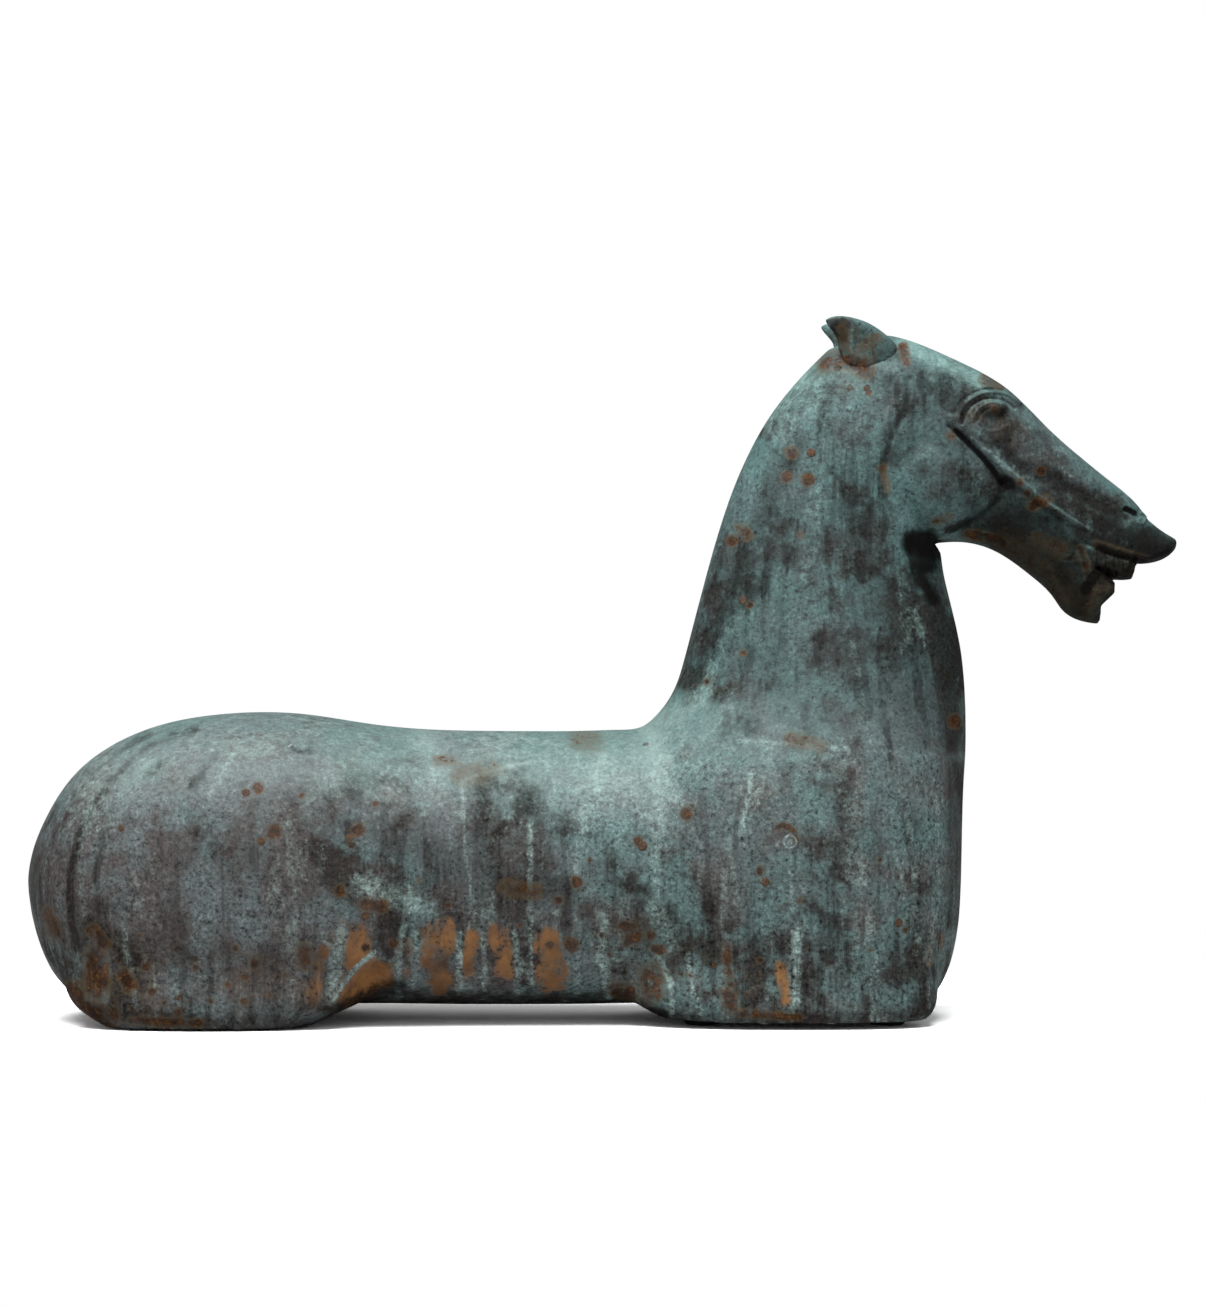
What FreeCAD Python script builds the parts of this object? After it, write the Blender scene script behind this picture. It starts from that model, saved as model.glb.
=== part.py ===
"""Hollow cast iron statue of a horse whose legs end just below the belly, in four short stubs.

The statue is four hollow castings bolted together through inner flanges: haunch, forebody, neck and
head. Two small ears are cast apart and held by studs. Iron chaplets and round core plugs sit in the
walls, and each leg stub is closed from below by a cover plate that carries two rubber pads.

Millimetres: +X towards the muzzle, +Y towards the horse's left, +Z up.
The origin lies on the floor, under the middle of the whole statue.
"""
import FreeCAD, Part
import Sketcher
import math
import os
from types import SimpleNamespace

# Driving dimensions in millimetres, and in degrees where the name ends in angle.
SIZES = {
    # Outer form
    "body_length": 898.0,
    "back_height": 277.0,
    "croup_rise": 18.0,
    "belly_clearance": 15.0,
    "body_width": 296.0,
    "chest_length": 318.0,
    "chest_width": 252.0,
    "neck_height": 377.0,
    "head_length": 334.0,
    "head_width": 98.0,
    "jowl_radius": 62.0,
    "jowl_bulge": 7.0,
    "eye_radius": 12.5,
    "eye_bulge": 4.0,
    "nostril_length": 9.0,
    "nostril_height": 5.0,
    "ear_thickness": 24.0,
    "ear_offset": 26.0,
    "ear_lean_angle": 42.0,
    "ear_splay_angle": 14.0,
    "tail_groove_radius": 3.2,
    "tail_groove_depth": 2.2,
    # Walls and inner flanges
    "body_wall": 8.0,
    "head_wall": 7.0,
    "joint_flange_width": 34.0,
    "joint_flange_thickness": 12.0,
    "neck_flange_shift": 18.0,
    "head_flange_end_width": 28.0,
    "head_flange_side_width": 15.0,
    "head_flange_thickness": 10.0,
    "neck_seam_angle": 5.1,
    # Leg stubs
    "hind_stub_length": 198.0,
    "hind_stub_width": 112.0,
    "hind_stub_offset": 76.0,
    "hind_rim_height": 2.5,
    "fore_stub_length": 242.0,
    "fore_stub_width": 98.0,
    "fore_stub_offset": 68.0,
    "fore_rim_height": 6.5,
    "stub_height": 60.0,
    "floor_thickness": 8.0,
    "hand_hole_rim": 18.0,
    # Cover plates and pads
    "cover_thickness": 4.0,
    "cover_rim": 12.0,
    "cover_clearance": 0.8,
    "cover_screw_radius": 3.0,
    "cover_screw_head_radius": 5.6,
    "cover_screw_length": 11.0,
    "cover_screw_edge": 8.0,
    "cover_screw_pitch": 62.0,
    "pad_radius": 17.0,
    "pad_height": 7.0,
    "pad_edge_round": 2.0,
    "pad_end_gap": 5.0,
    "pad_shift": 14.0,
    "pad_recess_radius": 7.0,
    "pad_recess_depth": 3.0,
    "pad_screw_radius": 2.5,
    "pad_screw_head_radius": 4.8,
    "pad_screw_head_height": 2.2,
    # Joint hardware: 10 mm bolts in the body, 8 mm bolts behind the head
    "joint_bolt_radius": 5.0,
    "joint_bolt_flats": 16.0,
    "joint_bolt_head_height": 6.4,
    "joint_bolt_spare_thread": 4.0,
    "joint_nut_height": 8.0,
    "joint_washer_radius": 10.0,
    "joint_washer_thickness": 2.0,
    "head_bolt_radius": 4.0,
    "head_bolt_flats": 13.0,
    "head_bolt_head_height": 5.3,
    "head_bolt_spare_thread": 3.0,
    "head_nut_height": 6.5,
    "head_washer_radius": 8.0,
    "head_washer_thickness": 1.6,
    "head_bolt_gap": 3.0,
    "bolt_hole_clearance": 0.6,
    "thread_clearance": 0.1,
    "dowel_radius": 5.0,
    "dowel_length": 20.0,
    "ear_stud_radius": 4.0,
    "ear_stud_bite": 16.0,
    "ear_boss_radius": 11.0,
    "ear_boss_depth": 20.0,
    # Marks left by casting
    "chaplet_radius": 5.0,
    "croup_plug_radius": 7.0,
    "shoulder_plug_radius": 11.0,
    "croup_plug_tilt_angle": 36.0,
    "plug_clearance": 0.12,
    # Cutting overrun past a face
    "overrun": 5.0,
}
BARREL_BOLT_COUNT = 8
NECK_BOLT_COUNT = 8
HEXAGON_SIDES = 6
HALF_TURN_DEG = 180.0
RING_POINTS = 16
SKIN_DEGREE = 3
HALF = 0.5
INSET_LIMIT_SHARE = 0.25

# Barrel rings from the rump to inside the chest. Each row: place along body_length, top as a share
# of back_height and of croup_rise, bottom as a share of back_height above the belly, half width,
# roundness of the upper and of the lower half (2 is an ellipse, more is squarer).
BARREL_SHARES = (
    (0.000, 0.488, 0.00, 0.406, 0.010, 2.0, 2.0),
    (0.002, 0.578, 0.00, 0.302, 0.209, 2.0, 2.0),
    (0.023, 0.737, 0.00, 0.105, 0.534, 2.0, 2.3),
    (0.059, 0.900, 0.00, -0.002, 0.824, 2.1, 2.9),
    (0.129, 1.000, 0.33, 0.001, 0.973, 2.2, 3.4),
    (0.209, 1.000, 0.97, 0.000, 1.014, 2.2, 3.6),
    (0.289, 1.000, 1.02, 0.000, 0.993, 2.2, 3.4),
    (0.364, 1.000, 0.27, 0.008, 0.919, 2.1, 2.9),
    (0.439, 1.000, -0.04, 0.000, 0.865, 2.1, 2.5),
    (0.537, 1.000, -0.04, 0.000, 0.824, 2.1, 2.5),
    (0.599, 1.000, -0.07, 0.001, 0.811, 2.1, 2.5),
    (0.653, 1.000, 0.17, 0.003, 0.811, 2.1, 2.5),
    (0.717, 0.987, 0.00, 0.008, 0.804, 2.1, 2.5),
    (0.791, 0.924, 0.00, 0.025, 0.757, 2.1, 2.5),
    (0.855, 0.793, 0.00, 0.081, 0.595, 2.1, 2.5),
)
NOSE_ALONG_SHARE = 0.13
BARREL_SEAM_SHARE = 0.537

# Chest rings, from the belly up to the neck seam. Each row: rear and front as shares of chest_length
# behind the breast, with their heights as shares from belly to back, half width, roundness.
CHEST_SHARES = (
    (0.800, 0.001, 0.131, 0.001, 0.762, 2.6),
    (0.885, 0.020, 0.089, 0.031, 0.873, 2.6),
    (0.981, 0.140, 0.037, 0.137, 0.952, 2.5),
    (1.054, 0.360, 0.016, 0.360, 1.000, 2.4),
    (1.090, 0.616, 0.013, 0.616, 1.000, 2.3),
    (1.084, 0.836, 0.009, 0.799, 0.952, 2.3),
    (0.999, 0.982, 0.001, 0.909, 0.857, 2.2),
)
# Neck rings above the seam: the same columns, with heights as shares of neck_height above the back.
NECK_SHARES = (
    (0.936, 0.033, 0.000, 0.020, 0.754, 2.2),
    (0.873, 0.099, 0.003, 0.107, 0.667, 2.1),
    (0.837, 0.216, 0.013, 0.209, 0.587, 2.1),
    (0.794, 0.356, 0.045, 0.321, 0.516, 2.1),
    (0.737, 0.534, 0.074, 0.417, 0.452, 2.1),
    (0.656, 0.717, 0.072, 0.453, 0.421, 2.1),
    (0.547, 0.862, 0.086, 0.466, 0.401, 2.1),
)
CREST_END_SHARES = (0.416, 0.967)

# Head rings from the seam behind the jowls to the muzzle. Each row: forehead point and jaw point as
# shares of head_length ahead of and below the end of the crest, half width, widest level from the
# top, roundness of the upper and of the lower half.
HEAD_SHARES = (
    (0.002, 0.000, 0.297, 0.557, 0.980, 0.5, 2.1, 2.1),
    (0.116, -0.054, 0.312, 0.555, 0.990, 0.48, 2.2, 2.1),
    (0.223, -0.038, 0.337, 0.552, 1.000, 0.44, 2.3, 2.1),
    (0.366, 0.029, 0.392, 0.550, 1.000, 0.38, 2.4, 2.0),
    (0.513, 0.097, 0.461, 0.565, 0.929, 0.34, 2.4, 2.0),
    (0.623, 0.222, 0.527, 0.603, 0.816, 0.36, 2.3, 2.0),
    (0.725, 0.308, 0.599, 0.661, 0.714, 0.42, 2.2, 2.1),
    (0.811, 0.378, 0.653, 0.705, 0.673, 0.44, 2.2, 2.2),
    (0.889, 0.437, 0.685, 0.779, 0.643, 0.42, 2.2, 2.3),
    (0.920, 0.489, 0.774, 0.786, 0.531, 0.4, 2.2, 2.4),
)
HEAD_CORE_RINGS = 7
# Upper lip and upper teeth rings: the same first five columns, then roundness.
LIP_SHARES = (
    (0.797, 0.397, 0.731, 0.560, 0.571, 2.2),
    (0.880, 0.451, 0.817, 0.603, 0.633, 2.2),
    (0.949, 0.520, 0.892, 0.626, 0.571, 2.2),
    (0.986, 0.536, 0.975, 0.603, 0.449, 2.2),
    (0.999, 0.545, 0.996, 0.572, 0.204, 2.2),
)
TEETH_SHARES = (
    (0.725, 0.560, 0.714, 0.621, 0.490, 3.0),
    (0.777, 0.569, 0.760, 0.641, 0.531, 3.0),
    (0.828, 0.583, 0.811, 0.661, 0.510, 3.0),
    (0.857, 0.598, 0.843, 0.662, 0.429, 3.0),
    (0.880, 0.612, 0.869, 0.659, 0.327, 3.0),
)
# Bony ridge from below the eye to the lip, as rings right across the head.
CREST_SHARES = (
    (0.375, 0.213, 0.358, 0.247, 1.020, 2.0),
    (0.452, 0.276, 0.424, 0.322, 1.020, 2.0),
    (0.582, 0.391, 0.547, 0.443, 0.918, 2.0),
    (0.711, 0.480, 0.679, 0.529, 0.755, 2.0),
    (0.783, 0.517, 0.762, 0.557, 0.673, 2.0),
    (0.834, 0.540, 0.826, 0.560, 0.592, 2.0),
)
# Outline of the gap between the jaws, from its corner along the upper teeth, round the chin and back.
MOUTH_SHARES = (
    (0.742, 0.615),
    (0.863, 0.652),
    (0.897, 0.804),
    (0.778, 0.804),
    (0.778, 0.735),
    (0.816, 0.698),
    (0.816, 0.669),
)
JOWL_SHARES = (0.300, 0.365)
EYE_SHARES = (0.470, 0.178)
EYE_LEVEL_WIDTH_SHARE = 0.86
NOSTRIL_SHARES = (0.886, 0.477)
NOSTRIL_LEVEL_WIDTH_SHARE = 0.62
# Ear rings from the root inside the head to the tip: rear edge and front edge as for the head, then
# thickness and offset from the middle plane as shares of ear_thickness and ear_offset.
EAR_BASE_SHARES = (0.111, 0.018)
EAR_ROUNDNESS = 2.2
EAR_SHARES = (
    (0.065, 0.081, 0.208, 0.041, 1.000, 0.923),
    (0.042, 0.041, 0.203, 0.000, 1.041, 1.000),
    (0.022, 0.003, 0.171, -0.031, 0.917, 1.077),
    (0.025, -0.025, 0.116, -0.071, 0.749, 1.231),
    (0.002, -0.051, 0.059, -0.087, 0.584, 1.385),
    (-0.014, -0.073, 0.019, -0.090, 0.376, 1.500),
    (-0.013, -0.076, -0.001, -0.083, 0.125, 1.538),
)

# Stub rings from the rim up into the belly. Each row: rise as a share of stub_height, rear and front
# as shares of the stub's length, inner and outer side as shares of its width, from its middle.
HIND_STUB_SHARE = 0.200
HIND_STUB_SHARES = (
    (0.000, -0.499, 0.499, -0.500, 0.500),
    (0.092, -0.547, 0.557, -0.527, 0.518),
    (0.258, -0.649, 0.668, -0.554, 0.545),
    (0.525, -0.717, 0.852, -0.554, 0.571),
    (0.992, -0.610, 0.794, -0.464, 0.482),
)
FORE_STUB_SHARE = 0.815
FORE_STUB_SHARES = (
    (0.000, -0.501, 0.501, -0.500, 0.500),
    (0.075, -0.557, 0.537, -0.520, 0.520),
    (0.225, -0.636, 0.561, -0.551, 0.541),
    (0.458, -0.699, 0.569, -0.551, 0.551),
    (0.992, -0.525, 0.525, -0.449, 0.469),
)
STUB_TABLES = {
    "hind": (HIND_STUB_SHARE, HIND_STUB_SHARES),
    "fore": (FORE_STUB_SHARE, FORE_STUB_SHARES),
}
STUB_ROUNDNESS = 2.6

# Grooves along the edge of the tail and of the buttock: place along body_length, share of back_height.
TAIL_SHARES = (
    (0.119, 0.947),
    (0.084, 0.849),
    (0.056, 0.720),
    (0.041, 0.580),
    (0.036, 0.427),
    (0.041, 0.298),
)
BUTTOCK_SHARES = (
    (0.165, 0.967),
    (0.121, 0.899),
    (0.088, 0.758),
    (0.067, 0.596),
    (0.062, 0.427),
    (0.068, 0.269),
)

# Chaplets: place along body_length and height as shares of back_height, or of neck_height above it.
HAUNCH_CHAPLET_SHARES = ((0.245, 0.80), (0.262, 0.64), (0.352, 0.65), (0.368, 0.39))
FOREBODY_CHAPLET_SHARES = ((0.654, 0.62), (0.702, 0.71), (0.781, 0.50), (0.920, 0.36))
NECK_CHAPLET_SHARES = ((0.808, 0.64), (0.832, 0.70), (0.760, 0.33))
CROUP_PLUG_SHARES = (0.290, 0.945)
SHOULDER_PLUG_SHARES = (0.806, 0.634)

vector = FreeCAD.Vector
UP = vector(0, 0, 1)
LEFT = vector(0, 1, 0)
FORWARD = vector(1, 0, 0)


def make_sheet(doc):
    """Writes the driving dimensions into a spreadsheet and returns it with their values."""
    sheet = doc.addObject("Spreadsheet::Sheet", "Sizes")
    for row, (alias, value) in enumerate(SIZES.items(), start=1):
        sheet.set(f"A{row}", alias)
        sheet.set(f"B{row}", str(value))
        sheet.setAlias(f"B{row}", alias)
    doc.recompute()
    return SimpleNamespace(**{alias: float(sheet.get(alias)) for alias in SIZES})


# Rings and skins


def ring(top, bottom, half_width, upper, lower, widest=HALF):
    """Control points of one closed section, in the plane through top and bottom and across Y.

    The section passes through both points and reaches half_width at the widest level.
    """
    line = bottom - top
    depth = line.Length
    down = line / depth
    centre = top + down * (widest * depth)
    step = 2 * math.pi / RING_POINTS
    points = []
    for index in range(RING_POINTS):
        angle = index * step
        power = upper if math.cos(angle) > 0 else lower
        # A periodic cubic passes inside its control points: the gain puts it back on the section.
        gain = 6 / (4 + 2 * math.cos(step) ** (2 / power))
        rise = math.copysign(abs(math.cos(angle)) ** (2 / power), math.cos(angle)) * gain
        reach = math.copysign(abs(math.sin(angle)) ** (2 / power), math.sin(angle)) * gain
        half_depth = depth * (widest if rise > 0 else 1 - widest)
        points.append(centre - down * (rise * half_depth) + LEFT * (reach * half_width))
    return points


def inset_ring(top, bottom, half_width, wall, **shape):
    """The ring of the hollow inside, one wall in from the outer ring."""
    line = bottom - top
    inset = min(wall, line.Length * INSET_LIMIT_SHARE)
    down = line / line.Length
    side = max(half_width - wall, half_width * INSET_LIMIT_SHARE)
    return ring(top + down * inset, bottom - down * inset, side, **shape)


def skin(rings):
    """Closed solid with a smooth side controlled by the rings and a flat face at each end."""
    around, along = len(rings[0]), len(rings)
    poles = [[rings[j][i] for j in range(along)] for i in range(around)]
    spans = along - SKIN_DEGREE
    surface = Part.BSplineSurface()
    surface.buildFromPolesMultsKnots(
        poles,
        [1] * (around + 1),
        [SKIN_DEGREE + 1] + [1] * (spans - 1) + [SKIN_DEGREE + 1],
        list(range(around + 1)),
        list(range(spans + 1)),
        True,
        False,
        SKIN_DEGREE,
        SKIN_DEGREE,
    )
    ends = [Part.Face(Part.Wire([surface.vIso(v).toShape()])) for v in (0, spans)]
    shell = Part.Shell([surface.toShape()] + ends)
    shell.sewShape()
    solid = Part.Solid(shell)
    if solid.Volume < 0:
        solid.reverse()
    return solid


def half_space(point, normal, reach):
    """A large block that starts at point and lies on the side that normal points to."""
    block = Part.makeBox(2 * reach, 2 * reach, reach, vector(-reach, -reach, 0))
    block.Placement = FreeCAD.Placement(point, FreeCAD.Rotation(UP, normal))
    return block


def ellipse_prism(centre, normal, first_axis, first_radius, second_radius, depth):
    """A prism with an elliptical section, reaching depth to both sides of centre."""
    start = centre - normal * depth
    major, minor = first_axis * first_radius, normal.cross(first_axis) * second_radius
    if minor.Length > major.Length:
        major, minor = minor, major
    ellipse = Part.Ellipse(start + major, start + minor, start)
    return Part.Face(Part.Wire([ellipse.toShape()])).extrude(normal * (2 * depth))


def mirrored(shape):
    """The same shape on the other side of the horse."""
    return shape.mirror(vector(0, 0, 0), LEFT)


def one_solid(shape):
    """The largest solid of a boolean's result, as a plain solid."""
    return max(shape.Solids, key=lambda solid: solid.Volume)


# Places worked out from the driving dimensions


def places(s):
    """Frames and points that several pieces share."""
    p = SimpleNamespace()
    p.crest_behind = CREST_END_SHARES[0] * s.chest_length
    p.overall_length = s.body_length + s.head_length - p.crest_behind
    p.rump_x = -p.overall_length * HALF
    p.breast_x = p.rump_x + s.body_length
    p.belly_z = s.belly_clearance
    p.body_rise = s.back_height - p.belly_z
    p.crest_end = vector(
        p.breast_x - p.crest_behind, 0, s.back_height + CREST_END_SHARES[1] * s.neck_height
    )
    p.barrel_seam = vector(p.rump_x + BARREL_SEAM_SHARE * s.body_length, 0, p.belly_z + p.body_rise * HALF)
    p.barrel_half_height = p.body_rise * HALF
    p.barrel_half_width = ring_row(BARREL_SHARES, BARREL_SEAM_SHARE)[4] * s.body_width * HALF
    angle = math.radians(s.neck_seam_angle)
    p.neck_normal = vector(math.sin(angle), 0, math.cos(angle))
    p.neck_along = vector(math.cos(angle), 0, -math.sin(angle))
    p.neck_half_length = s.chest_length * HALF / math.cos(angle)
    p.neck_half_width = CHEST_SHARES[-1][4] * s.chest_width * HALF
    p.neck_bolt_radius = p.neck_half_length - s.body_wall - s.joint_flange_width * HALF - s.neck_flange_shift
    p.neck_seam = vector(p.breast_x - s.chest_length * HALF, 0, s.back_height) - p.neck_normal * (
        math.sin(angle) * p.neck_half_length
    )
    # The withers slope over the rear of this flange, so its bolts stand further forward.
    p.neck_flange = p.neck_seam + p.neck_along * s.neck_flange_shift
    top, bottom = head_line(s, p, HEAD_SHARES[0])
    p.head_seam = (top + bottom) * HALF
    p.head_along = (bottom - top) / (bottom - top).Length
    p.head_normal = LEFT.cross(p.head_along) * -1
    p.head_half_length = (bottom - top).Length * HALF
    p.head_half_width = HEAD_SHARES[0][4] * s.head_width * HALF
    lean = math.radians(s.ear_lean_angle)
    splay = math.radians(s.ear_splay_angle)
    p.ear_base = head_point(s, p, EAR_BASE_SHARES) + LEFT * s.ear_offset
    p.ear_axis = vector(
        -math.cos(lean) * math.cos(splay), math.sin(splay), math.sin(lean) * math.cos(splay)
    )
    return p


def ring_row(table, along_share):
    """The row of a table whose ring stands at the given place."""
    return min(table, key=lambda row: abs(row[0] - along_share))


def head_point(s, p, shares):
    """A point on the middle plane, ahead of and below the end of the crest."""
    return p.crest_end + vector(shares[0] * s.head_length, 0, -shares[1] * s.head_length)


def head_line(s, p, row):
    """Forehead and jaw points of one head or lip ring."""
    return head_point(s, p, row[0:2]), head_point(s, p, row[2:4])


# Outer forms and the hollows inside them


def barrel_form(s, p, wall=0.0):
    """Haunch and barrel, or the hollow one wall inside it."""
    rings = []
    for along, top_share, rise_share, bottom_share, width_share, upper, lower in BARREL_SHARES:
        near_nose = max(0.0, 1 - along / NOSE_ALONG_SHARE)
        x = p.rump_x + along * s.body_length + near_nose * wall
        top = vector(x, 0, top_share * s.back_height + rise_share * s.croup_rise)
        bottom = vector(x, 0, p.belly_z + bottom_share * s.back_height)
        half_width = width_share * s.body_width * HALF
        rings.append(inset_ring(top, bottom, half_width, wall, upper=upper, lower=lower))
    return skin(rings)


def column_form(s, p, wall=0.0):
    """Chest and neck in one sweep from the belly to the seam behind the head, or its hollow."""
    rings = []
    last = len(CHEST_SHARES)
    for index, row in enumerate(CHEST_SHARES + NECK_SHARES):
        rear_share, rear_rise, front_share, front_rise, width_share, roundness = row
        floor = p.belly_z if index < last else s.back_height
        span = p.body_rise if index < last else s.neck_height
        lift = wall if index == 0 else 0.0
        rear = vector(p.breast_x - rear_share * s.chest_length, 0, floor + rear_rise * span + lift)
        front = vector(p.breast_x - front_share * s.chest_length, 0, floor + front_rise * span + lift)
        half_width = width_share * s.chest_width * HALF
        rings.append(inset_ring(rear, front, half_width, wall, upper=roundness, lower=roundness))
    rings.append(head_ring(s, p, HEAD_SHARES[0], wall))
    return skin(rings)


def head_ring(s, p, row, wall=0.0):
    """One ring of the head, or of its hollow."""
    top, bottom = head_line(s, p, row)
    half_width = row[4] * s.head_width * HALF
    return inset_ring(top, bottom, half_width, wall, widest=row[5], upper=row[6], lower=row[7])


def muzzle_form(s, p, table):
    """Lip, teeth or bony ridge: rings right across the head, each with its own roundness."""
    rings = []
    for row in table:
        top, bottom = head_line(s, p, row)
        rings.append(ring(top, bottom, row[4] * s.head_width * HALF, upper=row[5], lower=row[5]))
    return skin(rings)


def mouth_cut(s, p):
    """The gap between the jaws, right across the muzzle."""
    side = LEFT * s.head_width
    corners = [head_point(s, p, shares) - side for shares in MOUTH_SHARES]
    return Part.Face(Part.makePolygon(corners + corners[:1])).extrude(side * 2)


def ellipsoid(centre, length, width, height):
    """A ball stretched to the given half sizes along X, Y and Z."""
    matrix = FreeCAD.Matrix()
    matrix.scale(length, width, height)
    ball = Part.makeSphere(1).transformGeometry(matrix)
    ball.translate(centre)
    return ball


def head_form(s, p):
    """Skull, jowls, eyes, nostrils, lip, teeth and open mouth in one solid."""
    half_width = s.head_width * HALF
    skull = skin([head_ring(s, p, row) for row in HEAD_SHARES])
    nostril_side = LEFT * (NOSTRIL_LEVEL_WIDTH_SHARE * half_width)
    nostril = ellipsoid(
        head_point(s, p, NOSTRIL_SHARES) + nostril_side,
        s.nostril_length * HALF, s.nostril_length * HALF, s.nostril_height,
    )
    skull = skull.cut([mouth_cut(s, p), nostril, mirrored(nostril)])
    jowl = ellipsoid(
        head_point(s, p, JOWL_SHARES), s.jowl_radius, half_width + s.jowl_bulge, s.jowl_radius
    )
    jowl = jowl.common(half_space(p.head_seam, p.head_normal, p.overall_length))
    eye_side = LEFT * (EYE_LEVEL_WIDTH_SHARE * half_width + s.eye_bulge - s.eye_radius)
    eye = ellipsoid(head_point(s, p, EYE_SHARES) + eye_side, s.eye_radius, s.eye_radius, s.eye_radius)
    added = [muzzle_form(s, p, table) for table in (CREST_SHARES, LIP_SHARES, TEETH_SHARES)]
    return one_solid(skull.fuse([jowl, eye, mirrored(eye)] + added))


def stub_frame(s, p, leg):
    """Length, width, rings and the middle of the rim of the left stub of the fore or hind legs."""
    length = getattr(s, f"{leg}_stub_length")
    width = getattr(s, f"{leg}_stub_width")
    offset = getattr(s, f"{leg}_stub_offset")
    rim = getattr(s, f"{leg}_rim_height")
    share, rows = STUB_TABLES[leg]
    return length, width, rows, vector(p.rump_x + share * s.body_length, offset, rim)


def stub_form(s, p, leg, wall=0.0):
    """One leg stub, or the hollow above its floor."""
    length, width, rows, base = stub_frame(s, p, leg)
    lift = s.pad_height + s.cover_thickness + s.floor_thickness - base.z if wall else 0.0
    rings = []
    for rise, rear, front, inner, outer in rows:
        middle = base + vector(0, (inner + outer) * HALF * width, lift + rise * s.stub_height)
        half_width = (outer - inner) * HALF * width
        rings.append(
            inset_ring(middle + FORWARD * (rear * length), middle + FORWARD * (front * length),
                       half_width, wall, upper=STUB_ROUNDNESS, lower=STUB_ROUNDNESS)
        )
    return skin(rings)


def stadium_prism(length, width, height, base):
    """A block with round ends, standing on base and lying along X."""
    radius = width * HALF
    block = Part.makeBox(length - width, width, height, vector(-length * HALF + radius, -radius, 0))
    ends = [
        Part.makeCylinder(radius, height, vector(side * (length * HALF - radius), 0, 0))
        for side in (-1, 1)
    ]
    solid = block.fuse(ends).removeSplitter()
    solid.translate(base)
    return solid


def cover_size(s, p, leg):
    """Length and width of the cover plate that closes one stub."""
    length, width, _, _ = stub_frame(s, p, leg)
    return length - 2 * s.cover_rim, width - 2 * s.cover_rim


def cover_screw_places(s, p, leg):
    """Screw centres on a cover plate, seen from its middle."""
    _, width = cover_size(s, p, leg)
    across = width * HALF - s.cover_screw_edge
    return [
        (along * s.cover_screw_pitch * HALF, side * across) for along in (-1, 1) for side in (-1, 1)
    ]


def pad_places(s, p, leg):
    """Pad centres on a cover plate, seen from its middle."""
    length, _ = cover_size(s, p, leg)
    along = length * HALF - s.pad_radius - s.pad_end_gap
    return [(-along, -s.pad_shift), (along, -s.pad_shift)]


def stub_cuts(s, p, leg):
    """Recess, hand hole and tapped holes in the floor of one stub."""
    _, _, _, rim = stub_frame(s, p, leg)
    length, width = cover_size(s, p, leg)
    gap = 2 * s.cover_clearance
    base = vector(rim.x, rim.y, s.pad_height)
    below = base - UP * (s.pad_height + s.overrun)
    recess = s.pad_height + s.overrun + s.cover_thickness
    cuts = [stadium_prism(length + gap, width + gap, recess, below)]
    hole_length = length - 2 * s.hand_hole_rim
    hole_width = width - 2 * s.hand_hole_rim
    through = recess + s.floor_thickness + s.overrun
    cuts.append(stadium_prism(hole_length, hole_width, through, below))
    depth = s.cover_thickness + s.floor_thickness + s.overrun
    for x, y in cover_screw_places(s, p, leg):
        cuts.append(
            Part.makeCylinder(s.cover_screw_radius + s.thread_clearance, depth, base + vector(x, y, 0))
        )
    return cuts


# Joints between the castings


def ellipse_places(centre, along, across, long_radius, short_radius, count):
    """Points evenly turned round an ellipse, none of them on an axis."""
    found = []
    for index in range(count):
        angle = 2 * math.pi * (index + HALF) / count
        found.append(
            centre + along * (math.cos(angle) * long_radius) + across * (math.sin(angle) * short_radius)
        )
    return found


def barrel_bolt_places(s, p):
    """Bolt centres on the barrel seam, along the middle of its flange."""
    inset = s.body_wall + s.joint_flange_width * HALF
    return ellipse_places(
        p.barrel_seam, UP, LEFT, p.barrel_half_height - inset, p.barrel_half_width - inset,
        BARREL_BOLT_COUNT,
    )


def neck_bolt_places(s, p):
    """Bolt centres on the neck seam."""
    inset = s.body_wall + s.joint_flange_width * HALF
    return ellipse_places(
        p.neck_flange, p.neck_along, LEFT, p.neck_bolt_radius, p.neck_half_width - inset,
        NECK_BOLT_COUNT,
    )


def head_bolt_places(s, p):
    """Four bolt centres on the head seam, two above the hollow and two below it."""
    along = p.head_half_length - s.head_wall - s.head_flange_end_width * HALF
    across = s.head_washer_radius + s.head_bolt_gap * HALF
    return [
        p.head_seam + p.head_along * (end * along) + LEFT * (side * across)
        for end in (-1, 1)
        for side in (-1, 1)
    ]


def dowel_places(s, p):
    """Two locating dowels, level with the middle of the barrel seam."""
    across = p.barrel_half_width - s.body_wall - s.joint_flange_width * HALF
    return [p.barrel_seam + LEFT * (side * across) for side in (-1, 1)]


def bolt_holes(centres, normal, radius, depth):
    """Round cutters through a joint, reaching depth to both sides of the seam."""
    return [Part.makeCylinder(radius, 2 * depth, c - normal * depth, normal) for c in centres]


def spot_faces(s, prefix, centres, normal, flange):
    """Round room for the washers, bolt heads and nuts on both faces of a joint's flanges."""
    radius = getattr(s, f"{prefix}_washer_radius") + s.bolt_hole_clearance
    nut_end = getattr(s, f"{prefix}_nut_height") + getattr(s, f"{prefix}_bolt_spare_thread")
    room = getattr(s, f"{prefix}_washer_thickness") + nut_end + s.bolt_hole_clearance
    return [
        Part.makeCylinder(radius, room, centre + outward * flange, outward)
        for centre in centres
        for outward in (normal, normal * -1)
    ]


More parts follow.
